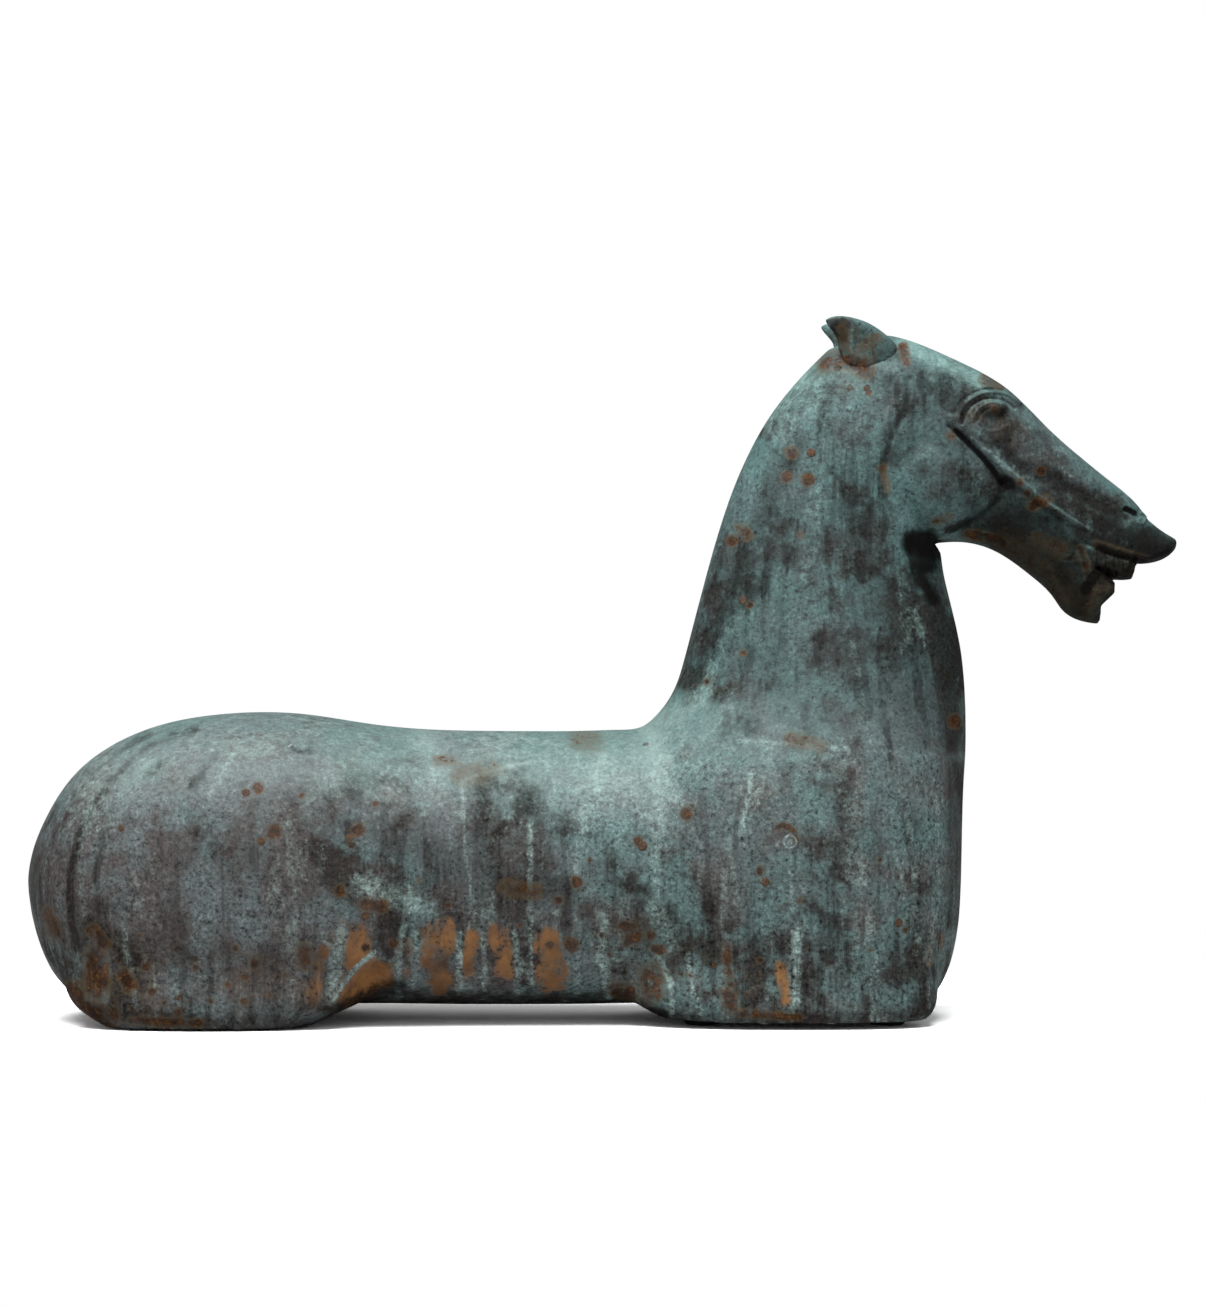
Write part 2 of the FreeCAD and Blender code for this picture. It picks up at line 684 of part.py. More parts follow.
def barrel_joint_cuts(s, p):
    """The opening inside the barrel's flange, with its bolt and dowel holes."""
    depth = s.joint_flange_thickness + s.overrun
    inset = s.body_wall + s.joint_flange_width
    cuts = [
        ellipse_prism(
            p.barrel_seam, FORWARD, UP, p.barrel_half_height - inset, p.barrel_half_width - inset, depth
        )
    ]
    hole = s.joint_bolt_radius + s.bolt_hole_clearance
    cuts += bolt_holes(barrel_bolt_places(s, p), FORWARD, hole, depth)
    cuts += spot_faces(s, "joint", barrel_bolt_places(s, p), FORWARD, s.joint_flange_thickness)
    dowel = s.dowel_radius + s.thread_clearance
    cuts += bolt_holes(dowel_places(s, p), FORWARD, dowel, s.dowel_length * HALF + s.thread_clearance)
    return cuts


def neck_joint_cuts(s, p):
    """The opening inside the neck's flange, with its bolt holes."""
    depth = s.joint_flange_thickness + s.overrun
    rim = s.joint_flange_width * HALF
    half_width = p.neck_half_width - s.body_wall - s.joint_flange_width
    cuts = [
        ellipse_prism(
            p.neck_flange, p.neck_normal, p.neck_along, p.neck_bolt_radius - rim, half_width, depth
        )
    ]
    hole = s.joint_bolt_radius + s.bolt_hole_clearance
    cuts += bolt_holes(neck_bolt_places(s, p), p.neck_normal, hole, depth)
    return cuts + spot_faces(
        s, "joint", neck_bolt_places(s, p), p.neck_normal, s.joint_flange_thickness
    )


def head_joint_cuts(s, p):
    """The opening inside the flange behind the head, with its bolt holes."""
    depth = s.head_flange_thickness + s.overrun
    cuts = [
        ellipse_prism(
            p.head_seam, p.head_normal, p.head_along,
            p.head_half_length - s.head_wall - s.head_flange_end_width,
            p.head_half_width - s.head_wall - s.head_flange_side_width, depth,
        )
    ]
    hole = s.head_bolt_radius + s.bolt_hole_clearance
    cuts += bolt_holes(head_bolt_places(s, p), p.head_normal, hole, depth)
    return cuts + spot_faces(
        s, "head", head_bolt_places(s, p), p.head_normal, s.head_flange_thickness
    )


# Chaplets and plugs: round pins through the wall, flush with it on both sides


def chaplet_pins(s, p, shares, radius, above_back=False):
    """Round pins right across the horse, at the places of one casting's chaplets."""
    pins = []
    reach = s.body_width
    for along, rise in shares:
        z = s.back_height + rise * s.neck_height if above_back else rise * s.back_height
        start = vector(p.rump_x + along * s.body_length, -reach, z)
        pins.append(Part.makeCylinder(radius, 2 * reach, start, LEFT))
    return pins


def croup_plug_pins(s, p, radius):
    """Two short pins square to the wall, high on both sides of the croup."""
    along, rise = CROUP_PLUG_SHARES
    tilt = math.radians(s.croup_plug_tilt_angle)
    outward = vector(0, math.sin(tilt), math.cos(tilt))
    # The pin's line passes through the middle plane below the croup.
    inner = vector(p.rump_x + along * s.body_length, 0, HALF * rise * s.back_height)
    pin = Part.makeCylinder(radius, s.body_width, inner, outward)
    return [pin, mirrored(pin)]


def wall_pieces(pins, wall_solid):
    """The parts of the pins that lie in the wall, each a solid of its own."""
    pieces = []
    for pin in pins:
        pieces += pin.common(wall_solid).Solids
    return pieces


# Castings


def base_shapes(s, p):
    """Outer forms and hollows, cut at the seams, before any hole is made."""
    f = SimpleNamespace()
    far = p.overall_length
    behind_barrel = half_space(p.barrel_seam, FORWARD * -1, far)
    ahead_barrel = half_space(p.barrel_seam, FORWARD, far)
    below_neck = half_space(p.neck_seam, p.neck_normal * -1, far)
    above_neck = half_space(p.neck_seam, p.neck_normal, far)
    flange = s.joint_flange_thickness
    hind_stub = stub_form(s, p, "hind")
    fore_stub = stub_form(s, p, "fore")
    hind_hollow = stub_form(s, p, "hind", s.body_wall)
    fore_hollow = stub_form(s, p, "fore", s.body_wall)
    barrel = barrel_form(s, p)
    barrel_hollow = barrel_form(s, p, s.body_wall)
    column = column_form(s, p)
    column_hollow = column_form(s, p, s.body_wall)

    f.haunch_outer = barrel.common(behind_barrel).fuse([hind_stub, mirrored(hind_stub)])
    f.haunch_hollow = barrel_hollow.common(
        half_space(p.barrel_seam - FORWARD * flange, FORWARD * -1, far)
    ).fuse([hind_hollow, mirrored(hind_hollow)])

    f.forebody_outer = (
        barrel.common(ahead_barrel)
        .fuse([column.common(below_neck), fore_stub, mirrored(fore_stub)])
        .common(below_neck)
    )
    below_flange = half_space(p.neck_seam - p.neck_normal * flange, p.neck_normal * -1, far)
    f.forebody_hollow = (
        barrel_hollow.common(half_space(p.barrel_seam + FORWARD * flange, FORWARD, far))
        .fuse([column_hollow, fore_hollow, mirrored(fore_hollow)])
        .common(below_flange)
    )

    f.neck_outer = column.common(above_neck)
    before_head = half_space(p.head_seam - p.head_normal * s.head_flange_thickness, p.head_normal * -1, far)
    f.neck_hollow = column_hollow.common(
        half_space(p.neck_seam + p.neck_normal * flange, p.neck_normal, far)
    ).common(before_head)

    f.head_outer = head_form(s, p)
    core = skin([head_ring(s, p, row, s.head_wall) for row in HEAD_SHARES[:HEAD_CORE_RINGS]])
    after_seam = half_space(p.head_seam + p.head_normal * s.head_flange_thickness, p.head_normal, far)
    f.head_hollow = core.common(after_seam)
    return f


def ear_form(s, p):
    """The left ear, a leaf that leans back and out from the poll."""
    rings = []
    for row in EAR_SHARES:
        offset = LEFT * (row[5] * s.ear_offset)
        rear, front = head_line(s, p, row)
        half_width = row[4] * s.ear_thickness * HALF
        rings.append(ring(rear + offset, front + offset, half_width, EAR_ROUNDNESS, EAR_ROUNDNESS))
    return skin(rings)


def surface_groove(s, p, form, shares):
    """A round cutter that follows a line over the left side of a form."""
    points = []
    for along, rise in shares:
        foot = vector(p.rump_x + along * s.body_length, 0, rise * s.back_height)
        reach = Part.makeLine(foot, foot + LEFT * s.body_width).common(form)
        points.append(foot + LEFT * (reach.Length + s.tail_groove_radius - s.tail_groove_depth))
    path = Part.BSplineCurve()
    path.interpolate(points)
    wire = Part.Wire([path.toShape()])
    start_direction = path.tangent(path.FirstParameter)[0]
    profile = Part.Wire([Part.Circle(points[0], start_direction, s.tail_groove_radius).toShape()])
    return wire.makePipeShell([profile], True, True)


def ear_line(s, p):
    """Lengths and ends along the axis of the left ear's stud, from its nut inside the head."""
    line = SimpleNamespace()
    line.seat = p.ear_base - p.ear_axis * s.ear_boss_depth
    line.stud_end = line.seat - p.ear_axis * (s.head_nut_height + s.head_bolt_spare_thread)
    line.length = s.ear_boss_depth + s.head_nut_height + s.head_bolt_spare_thread + s.ear_stud_bite
    return line


def make_castings(s, p):
    """All cast pieces and the pins in their walls, as a table from node name to shape."""
    f = base_shapes(s, p)
    nodes = {}

    haunch_wall = f.haunch_outer.cut(f.haunch_hollow)
    grooves = [surface_groove(s, p, f.haunch_outer, line) for line in (TAIL_SHARES, BUTTOCK_SHARES)]
    haunch_wall = haunch_wall.cut(grooves + [mirrored(groove) for groove in grooves])
    forebody_wall = f.forebody_outer.cut(f.forebody_hollow)
    neck_wall = f.neck_outer.cut(f.neck_hollow)
    gap = s.plug_clearance

    haunch_pins = chaplet_pins(s, p, HAUNCH_CHAPLET_SHARES, s.chaplet_radius)
    haunch_holes = chaplet_pins(s, p, HAUNCH_CHAPLET_SHARES, s.chaplet_radius + gap)
    nodes["haunch_chaplets"] = Part.makeCompound(wall_pieces(haunch_pins, haunch_wall))
    croup_pins = wall_pieces(croup_plug_pins(s, p, s.croup_plug_radius), haunch_wall)
    nodes["croup_plugs"] = Part.makeCompound(croup_pins)
    haunch_holes += croup_plug_pins(s, p, s.croup_plug_radius + gap)

    forebody_pins = chaplet_pins(s, p, FOREBODY_CHAPLET_SHARES, s.chaplet_radius)
    forebody_holes = chaplet_pins(s, p, FOREBODY_CHAPLET_SHARES, s.chaplet_radius + gap)
    nodes["forebody_chaplets"] = Part.makeCompound(wall_pieces(forebody_pins, forebody_wall))
    plugs = chaplet_pins(s, p, (SHOULDER_PLUG_SHARES,), s.shoulder_plug_radius)
    nodes["shoulder_plugs"] = Part.makeCompound(wall_pieces(plugs, forebody_wall))
    forebody_holes += chaplet_pins(s, p, (SHOULDER_PLUG_SHARES,), s.shoulder_plug_radius + gap)

    neck_pins = chaplet_pins(s, p, NECK_CHAPLET_SHARES, s.chaplet_radius, above_back=True)
    neck_holes = chaplet_pins(s, p, NECK_CHAPLET_SHARES, s.chaplet_radius + gap, above_back=True)
    nodes["neck_chaplets"] = Part.makeCompound(wall_pieces(neck_pins, neck_wall))

    barrel_cuts = barrel_joint_cuts(s, p)
    neck_cuts = neck_joint_cuts(s, p)
    head_cuts = head_joint_cuts(s, p)
    hind_cuts = stub_cuts(s, p, "hind")
    fore_cuts = stub_cuts(s, p, "fore")

    nodes["haunch_casting"] = one_solid(
        haunch_wall.cut(barrel_cuts + haunch_holes + hind_cuts + [mirrored(c) for c in hind_cuts])
    )
    nodes["forebody_casting"] = one_solid(
        forebody_wall.cut(
            barrel_cuts + neck_cuts + forebody_holes + fore_cuts + [mirrored(c) for c in fore_cuts]
        )
    )
    nodes["neck_casting"] = one_solid(neck_wall.cut(neck_cuts + head_cuts + neck_holes))

    line = ear_line(s, p)
    boss = Part.makeCylinder(s.ear_boss_radius, s.ear_boss_depth, line.seat, p.ear_axis)
    boss = boss.common(f.head_outer)
    stud_hole = Part.makeCylinder(
        s.ear_stud_radius + s.thread_clearance, line.length + s.thread_clearance, line.stud_end,
        p.ear_axis,
    )
    head_wall = f.head_outer.cut(f.head_hollow).fuse([boss, mirrored(boss)])
    nodes["head_casting"] = one_solid(head_wall.cut(head_cuts + [stud_hole, mirrored(stud_hole)]))
    nodes["left_ear"] = one_solid(ear_form(s, p).cut([f.head_outer, f.neck_outer, stud_hole]))
    nodes["right_ear"] = mirrored(nodes["left_ear"])
    return nodes


# Hardware, as templates bound to the sheet and placed copies


def bind(obj, **expressions):
    """Binds properties of a document object to cells of the sheet."""
    for prop, expression in expressions.items():
        obj.setExpression(prop, expression)


def cylinder_object(doc, name, radius, height):
    """A cylinder along +Z whose radius and height are expressions."""
    obj = doc.addObject("Part::Cylinder", name)
    bind(obj, Radius=radius, Height=height)
    return obj


def prism_object(doc, name, flats, height):
    """A hexagonal prism of the given width across its flats."""
    obj = doc.addObject("Part::Prism", name)
    obj.Polygon = HEXAGON_SIDES
    bind(obj, Circumradius=f"{flats} / 2 / cos(180 deg / {HEXAGON_SIDES})", Height=height)
    return obj


def boolean_object(doc, kind, name, base, tool):
    """A cut or a fusion of two objects."""
    obj = doc.addObject(kind, name)
    obj.Base, obj.Tool = base, tool
    return obj


def bolt_template(doc, prefix, grip):
    """A hexagon bolt with its head under the floor of its own frame and its shank along +Z."""
    head = prism_object(doc, f"{prefix}_bolt_head", f"Sizes.{prefix}_bolt_flats",
                        f"Sizes.{prefix}_bolt_head_height")
    bind(head, **{"Placement.Base.z": f"-Sizes.{prefix}_bolt_head_height"})
    shank = cylinder_object(doc, f"{prefix}_bolt_shank", f"Sizes.{prefix}_bolt_radius", grip)
    return boolean_object(doc, "Part::Fuse", f"{prefix}_bolt_template", head, shank)


def nut_template(doc, prefix):
    """A hexagon nut, standing on the floor of its own frame."""
    body = prism_object(doc, f"{prefix}_nut_body", f"Sizes.{prefix}_bolt_flats",
                        f"Sizes.{prefix}_nut_height")
    bore = cylinder_object(doc, f"{prefix}_nut_bore",
                           f"Sizes.{prefix}_bolt_radius + Sizes.thread_clearance",
                           f"Sizes.{prefix}_nut_height + 2 * Sizes.overrun")
    bind(bore, **{"Placement.Base.z": "-Sizes.overrun"})
    return boolean_object(doc, "Part::Cut", f"{prefix}_nut_template", body, bore)


def washer_template(doc, prefix):
    """A flat washer, lying on the floor of its own frame."""
    body = cylinder_object(doc, f"{prefix}_washer_body", f"Sizes.{prefix}_washer_radius",
                           f"Sizes.{prefix}_washer_thickness")
    bore = cylinder_object(doc, f"{prefix}_washer_bore",
                           f"Sizes.{prefix}_bolt_radius + Sizes.bolt_hole_clearance / 2",
                           f"Sizes.{prefix}_washer_thickness + 2 * Sizes.overrun")
    bind(bore, **{"Placement.Base.z": "-Sizes.overrun"})
    return boolean_object(doc, "Part::Cut", f"{prefix}_washer_template", body, bore)


def frame_on(point, direction):
    """A frame that stands on point with its +Z along direction."""
    return FreeCAD.Placement(point, FreeCAD.Rotation(UP, direction))


def other_side(point):
    """The same point, or direction, on the other side of the horse."""
    return vector(point.x, -point.y, point.z)


def add_copies(doc, name, template, frames):
    """One sub-part made of copies of a template, one on each frame."""
    copies = []
    for index, frame in enumerate(frames, start=1):
        copy = doc.addObject("App::Link", f"{name}_{index}")
        copy.LinkedObject = template
        copy.Placement = frame
        copies.append(copy)
    node = doc.addObject("Part::Compound", name)
    node.Label = name
    node.Links = copies
    return node


def bolt_set(doc, prefix, flange):
    """Templates of the bolt, washer and nut that clamp two flanges of the given thickness cell."""
    grip = (f"2 * Sizes.{flange} + 2 * Sizes.{prefix}_washer_thickness"
            f" + Sizes.{prefix}_nut_height + Sizes.{prefix}_bolt_spare_thread")
    return bolt_template(doc, prefix, grip), washer_template(doc, prefix), nut_template(doc, prefix)


def joint_hardware(doc, name, templates, centres, normal, thickness, washer_thickness):
    """Bolts, washers and nuts of one flanged joint, as three sub-parts."""
    bolt, washer, nut = templates
    face = normal * thickness
    seat = normal * (thickness + washer_thickness)
    under_heads = [frame_on(centre - seat, normal) for centre in centres]
    under_nuts = [frame_on(centre + face, normal) for centre in centres]
    return [
        add_copies(doc, f"{name}_bolts", bolt, under_heads),
        add_copies(doc, f"{name}_washers", washer, under_heads + under_nuts),
        add_copies(doc, f"{name}_nuts", nut, [frame_on(centre + seat, normal) for centre in centres]),
    ]


def seam_hardware(doc, s, p):
    """Everything that holds the four castings together."""
    body_set = bolt_set(doc, "joint", "joint_flange_thickness")
    head_set = bolt_set(doc, "head", "head_flange_thickness")
    nodes = joint_hardware(doc, "barrel_joint", body_set, barrel_bolt_places(s, p), FORWARD,
                           s.joint_flange_thickness, s.joint_washer_thickness)
    nodes += joint_hardware(doc, "neck_joint", body_set, neck_bolt_places(s, p), p.neck_normal,
                            s.joint_flange_thickness, s.joint_washer_thickness)
    nodes += joint_hardware(doc, "head_joint", head_set, head_bolt_places(s, p), p.head_normal,
                            s.head_flange_thickness, s.head_washer_thickness)
    dowel = cylinder_object(doc, "dowel_template", "Sizes.dowel_radius", "Sizes.dowel_length")
    half_dowel = FORWARD * (s.dowel_length * HALF)
    dowels = [frame_on(centre - half_dowel, FORWARD) for centre in dowel_places(s, p)]
    nodes.append(add_copies(doc, "barrel_joint_dowels", dowel, dowels))

    stud = cylinder_object(doc, "ear_stud_template", "Sizes.ear_stud_radius",
                           "Sizes.ear_boss_depth + Sizes.head_nut_height"
                           " + Sizes.head_bolt_spare_thread + Sizes.ear_stud_bite")
    line = ear_line(s, p)
    studs = [(line.stud_end, p.ear_axis), (other_side(line.stud_end), other_side(p.ear_axis))]
    nuts = [(line.seat, p.ear_axis * -1), (other_side(line.seat), other_side(p.ear_axis) * -1)]
    nodes.append(add_copies(doc, "ear_studs", stud, [frame_on(*place) for place in studs]))
    nodes.append(add_copies(doc, "ear_nuts", head_set[-1], [frame_on(*place) for place in nuts]))
    return nodes


def named_constraint(sketch, constraint, name, expression):
    """Adds a dimension to a sketch and binds it to the sheet."""
    index = sketch.addConstraint(constraint)
    sketch.renameConstraint(index, name)
    sketch.setExpression(f"Constraints.{name}", expression)


def plane_of(body, role):
    """One of a body's own origin planes."""
    return next(f for f in body.Origin.OriginFeatures if f.Role == role)


def sketch_on(body, role, name):
    """A new sketch on one of a body's own origin planes."""
    sketch = body.newObject("Sketcher::SketchObject", name)
    sketch.AttachmentSupport = [(plane_of(body, role), "")]
    sketch.MapMode = "FlatFace"
    return sketch


def stadium_sketch(body, name, length, width, start):
    """A slot outline about the sketch's origin, bound to two expressions."""
    sketch = sketch_on(body, "XY_Plane", name)
    half, radius = start
    sketch.addGeometry([
        Part.LineSegment(vector(-half, radius, 0), vector(half, radius, 0)),
        Part.ArcOfCircle(Part.Circle(vector(half, 0, 0), UP, radius), -math.pi / 2, math.pi / 2),
        Part.LineSegment(vector(half, -radius, 0), vector(-half, -radius, 0)),
        Part.ArcOfCircle(Part.Circle(vector(-half, 0, 0), UP, radius), math.pi / 2, 3 * math.pi / 2),
    ], False)
    for first, first_end, second, second_end in ((0, 2, 1, 2), (1, 1, 2, 1), (2, 2, 3, 2), (3, 1, 0, 1)):
        sketch.addConstraint(Sketcher.Constraint("Tangent", first, first_end, second, second_end))
    sketch.addConstraint(Sketcher.Constraint("Horizontal", 0))
    sketch.addConstraint(Sketcher.Constraint("Symmetric", 1, 3, 3, 3, -1, 1))
    named_constraint(sketch, Sketcher.Constraint("Radius", 1, radius), "end_radius", f"({width}) / 2")
    named_constraint(sketch, Sketcher.Constraint("DistanceX", 3, 3, 1, 3, 2 * half), "centre_distance",
                     f"({length}) - ({width})")
    return sketch


def cover_plate(doc, s, p, name, leg):
    """The plate that closes one stub, with its screw and pad holes."""
    body = doc.addObject("PartDesign::Body", name)
    body.Label = name
    length = f"Sizes.{leg}_stub_length - 2 * Sizes.cover_rim"
    width = f"Sizes.{leg}_stub_width - 2 * Sizes.cover_rim"
    full_length, full_width = cover_size(s, p, leg)
    outline = stadium_sketch(body, f"{name}_outline", length, width,
                             ((full_length - full_width) * HALF, full_width * HALF))
    pad = body.newObject("PartDesign::Pad", f"{name}_pad")
    pad.Profile = outline
    pad.setExpression("Length", "Sizes.cover_thickness")
    doc.recompute()

    holes = sketch_on(body, "XY_Plane", f"{name}_holes")
    clearance = s.cover_screw_radius + s.thread_clearance
    pad_along = f"(({length}) / 2 - Sizes.pad_radius - Sizes.pad_end_gap)"
    screw_across = f"(({width}) / 2 - Sizes.cover_screw_edge)"
    circles = [
        (x, f"{math.copysign(1, x):.0f} * Sizes.cover_screw_pitch / 2",
         y, f"{math.copysign(1, y):.0f} * {screw_across}",
         clearance, "Sizes.cover_screw_radius + Sizes.thread_clearance")
        for x, y in cover_screw_places(s, p, leg)
    ]
    circles += [
        (x, f"{math.copysign(1, x):.0f} * {pad_along}", y, "-Sizes.pad_shift",
         s.pad_screw_radius, "Sizes.pad_screw_radius + Sizes.thread_clearance")
        for x, y in pad_places(s, p, leg)
    ]
    for index, (x, x_cell, y, y_cell, radius, radius_cell) in enumerate(circles):
        holes.addGeometry(Part.Circle(vector(x, y, 0), UP, radius), False)
        named_constraint(holes, Sketcher.Constraint("Radius", index, radius),
                         f"radius_{index}", radius_cell)
        named_constraint(holes, Sketcher.Constraint("DistanceX", -1, 1, index, 3, x), f"x_{index}", x_cell)
        named_constraint(holes, Sketcher.Constraint("DistanceY", -1, 1, index, 3, y), f"y_{index}", y_cell)
    pocket = body.newObject("PartDesign::Pocket", f"{name}_pocket")
    pocket.Profile = holes
    pocket.Type = "ThroughAll"
    pocket.Midplane = True
    doc.recompute()
    return body


def turned_template(doc, name, outline):
    """A body of revolution about +Z. Each outline point is (radius, its cell, height, its cell)."""
    body = doc.addObject("PartDesign::Body", name)
    sketch = sketch_on(body, "XZ_Plane", f"{name}_profile")
    corners = [vector(radius, height, 0) for radius, _, height, _ in outline]
    count = len(corners)
    sketch.addGeometry(
        [Part.LineSegment(corners[i], corners[(i + 1) % count]) for i in range(count)], False
    )
    for i in range(count):
        sketch.addConstraint(Sketcher.Constraint("Coincident", i, 2, (i + 1) % count, 1))
    for i, (radius, radius_cell, height, height_cell) in enumerate(outline):
        if radius_cell:
            named_constraint(sketch, Sketcher.Constraint("DistanceX", -1, 1, i, 1, radius),
                             f"radius_{i}", radius_cell)
        else:
            sketch.addConstraint(Sketcher.Constraint("PointOnObject", i, 1, -2))
        if height_cell:
            named_constraint(sketch, Sketcher.Constraint("DistanceY", -1, 1, i, 1, height),
                             f"height_{i}", height_cell)
        else:
            sketch.addConstraint(Sketcher.Constraint("PointOnObject", i, 1, -1))
    turn = body.newObject("PartDesign::Revolution", f"{name}_turn")
    turn.Profile = sketch
    turn.ReferenceAxis = (sketch, ["V_Axis"])
    doc.recompute()
    return body


def pad_template(doc, s):
    """A round rubber foot with a recess for its screw, standing on the floor."""
    bore = s.pad_screw_radius + s.thread_clearance
    bore_cell = "Sizes.pad_screw_radius + Sizes.thread_clearance"
    edge = s.pad_edge_round
    return turned_template(doc, "pad_template", (
        (s.pad_recess_radius, "Sizes.pad_recess_radius", 0.0, ""),
        (s.pad_radius - edge, "Sizes.pad_radius - Sizes.pad_edge_round", 0.0, ""),
        (s.pad_radius, "Sizes.pad_radius", edge, "Sizes.pad_edge_round"),
        (s.pad_radius, "Sizes.pad_radius", s.pad_height, "Sizes.pad_height"),
        (bore, bore_cell, s.pad_height, "Sizes.pad_height"),
        (bore, bore_cell, s.pad_recess_depth, "Sizes.pad_recess_depth"),
        (s.pad_recess_radius, "Sizes.pad_recess_radius", s.pad_recess_depth, "Sizes.pad_recess_depth"),
    ))


def pad_screw_template(doc, s):
    """A cheese-head screw that holds a pad, up through its recess into the cover plate."""
    top = s.pad_height + s.cover_thickness
    top_cell = "Sizes.pad_height + Sizes.cover_thickness"
    low = s.pad_recess_depth - s.pad_screw_head_height
    low_cell = "Sizes.pad_recess_depth - Sizes.pad_screw_head_height"
    return turned_template(doc, "pad_screw_template", (
        (0.0, "", low, low_cell),
        (s.pad_screw_head_radius, "Sizes.pad_screw_head_radius", low, low_cell),
        (s.pad_screw_head_radius, "Sizes.pad_screw_head_radius", s.pad_recess_depth,
         "Sizes.pad_recess_depth"),
        (s.pad_screw_radius, "Sizes.pad_screw_radius", s.pad_recess_depth, "Sizes.pad_recess_depth"),
        (s.pad_screw_radius, "Sizes.pad_screw_radius", top, top_cell),
        (0.0, "", top, top_cell),
    ))


def cover_screw_template(doc, s):
    """A pan-head screw, its head under the plate and its shank up into the floor."""
    head = -s.pad_screw_head_height
    return turned_template(doc, "cover_screw_template", (
        (0.0, "", head, "-Sizes.pad_screw_head_height"),
        (s.cover_screw_head_radius, "Sizes.cover_screw_head_radius", head,
         "-Sizes.pad_screw_head_height"),
        (s.cover_screw_head_radius, "Sizes.cover_screw_head_radius", 0.0, ""),
        (s.cover_screw_radius, "Sizes.cover_screw_radius", 0.0, ""),
        (s.cover_screw_radius, "Sizes.cover_screw_radius", s.cover_screw_length,
         "Sizes.cover_screw_length"),
        (0.0, "", s.cover_screw_length, "Sizes.cover_screw_length"),
    ))


def stub_hardware(doc, s, p):
    """Cover plates, their screws and the pads with their screws."""
    pad = pad_template(doc, s)
    pad_screw = pad_screw_template(doc, s)
    cover_screw = cover_screw_template(doc, s)
    nodes = []
    all_feet = []
    for leg in STUB_TABLES:
        _, _, _, rim = stub_frame(s, p, leg)
        middle = vector(rim.x, rim.y, s.pad_height)
        left = cover_plate(doc, s, p, f"left_{leg}_cover", leg)
        left.Placement = frame_on(middle, UP)
        right = cover_plate(doc, s, p, f"right_{leg}_cover", leg)
        right.Placement = FreeCAD.Placement(other_side(middle), FreeCAD.Rotation(UP, HALF_TURN_DEG))
        screws = [middle + vector(x, y, 0) for x, y in cover_screw_places(s, p, leg)]
        feet = [vector(middle.x + x, middle.y + y, 0) for x, y in pad_places(s, p, leg)]
        screws += [other_side(screw) for screw in screws]
        feet += [other_side(foot) for foot in feet]
        all_feet += feet
        nodes += [left, right]
        nodes.append(add_copies(doc, f"{leg}_cover_screws", cover_screw,
                                [frame_on(screw, UP) for screw in screws]))
        nodes.append(add_copies(doc, f"{leg}_pads", pad, [frame_on(foot, UP) for foot in feet]))
    nodes.append(add_copies(doc, "pad_screws", pad_screw, [frame_on(foot, UP) for foot in all_feet]))
    return nodes


def add_casting(doc, name, shape):
    """Adds one cast piece to the document, with its label and its placement."""
    node = doc.addObject("Part::Feature", name)
    node.Label = name
    node.Shape = shape
    node.Placement = FreeCAD.Placement()
    return node


def check_document(doc, nodes):
    """Stops the build on a failed object or a bad shape."""
    failed = [o.Name for o in doc.Objects if {"Invalid", "Error"} & set(o.State)]
    if failed:
        raise RuntimeError(f"failed objects: {failed}")
    for node in nodes:
        if node.Shape.isNull() or not node.Shape.isValid() or not node.Shape.Solids:
            raise RuntimeError(f"bad shape: {node.Label}")


def main():
    """Builds the document, checks it and writes one file for each sub-part."""
    doc = FreeCAD.newDocument("HorseStatue")
    s = make_sheet(doc)
    p = places(s)
    nodes = [add_casting(doc, name, shape) for name, shape in make_castings(s, p).items()]
    nodes += seam_hardware(doc, s, p)
    nodes += stub_hardware(doc, s, p)
    doc.recompute()
    check_document(doc, nodes)
    os.makedirs("parts", exist_ok=True)
    for node in nodes:
        node.Shape.exportStep(f"parts/{node.Label}.step")
        print(node.Label, len(node.Shape.Solids), round(node.Shape.Volume))


main()
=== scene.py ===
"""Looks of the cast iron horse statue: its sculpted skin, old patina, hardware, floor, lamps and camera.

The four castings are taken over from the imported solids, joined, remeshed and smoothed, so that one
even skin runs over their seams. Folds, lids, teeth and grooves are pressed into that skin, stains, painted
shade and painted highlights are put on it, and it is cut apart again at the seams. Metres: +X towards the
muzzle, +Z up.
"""
import itertools
import logging
import math
from collections.abc import Iterator
from contextlib import contextmanager
from dataclasses import dataclass
from enum import Enum

import bmesh
import bpy
import numpy as np
from bpy.types import Material, NodeSocket, Object
from mathutils import Matrix, Vector, noise
from mathutils.bvhtree import BVHTree


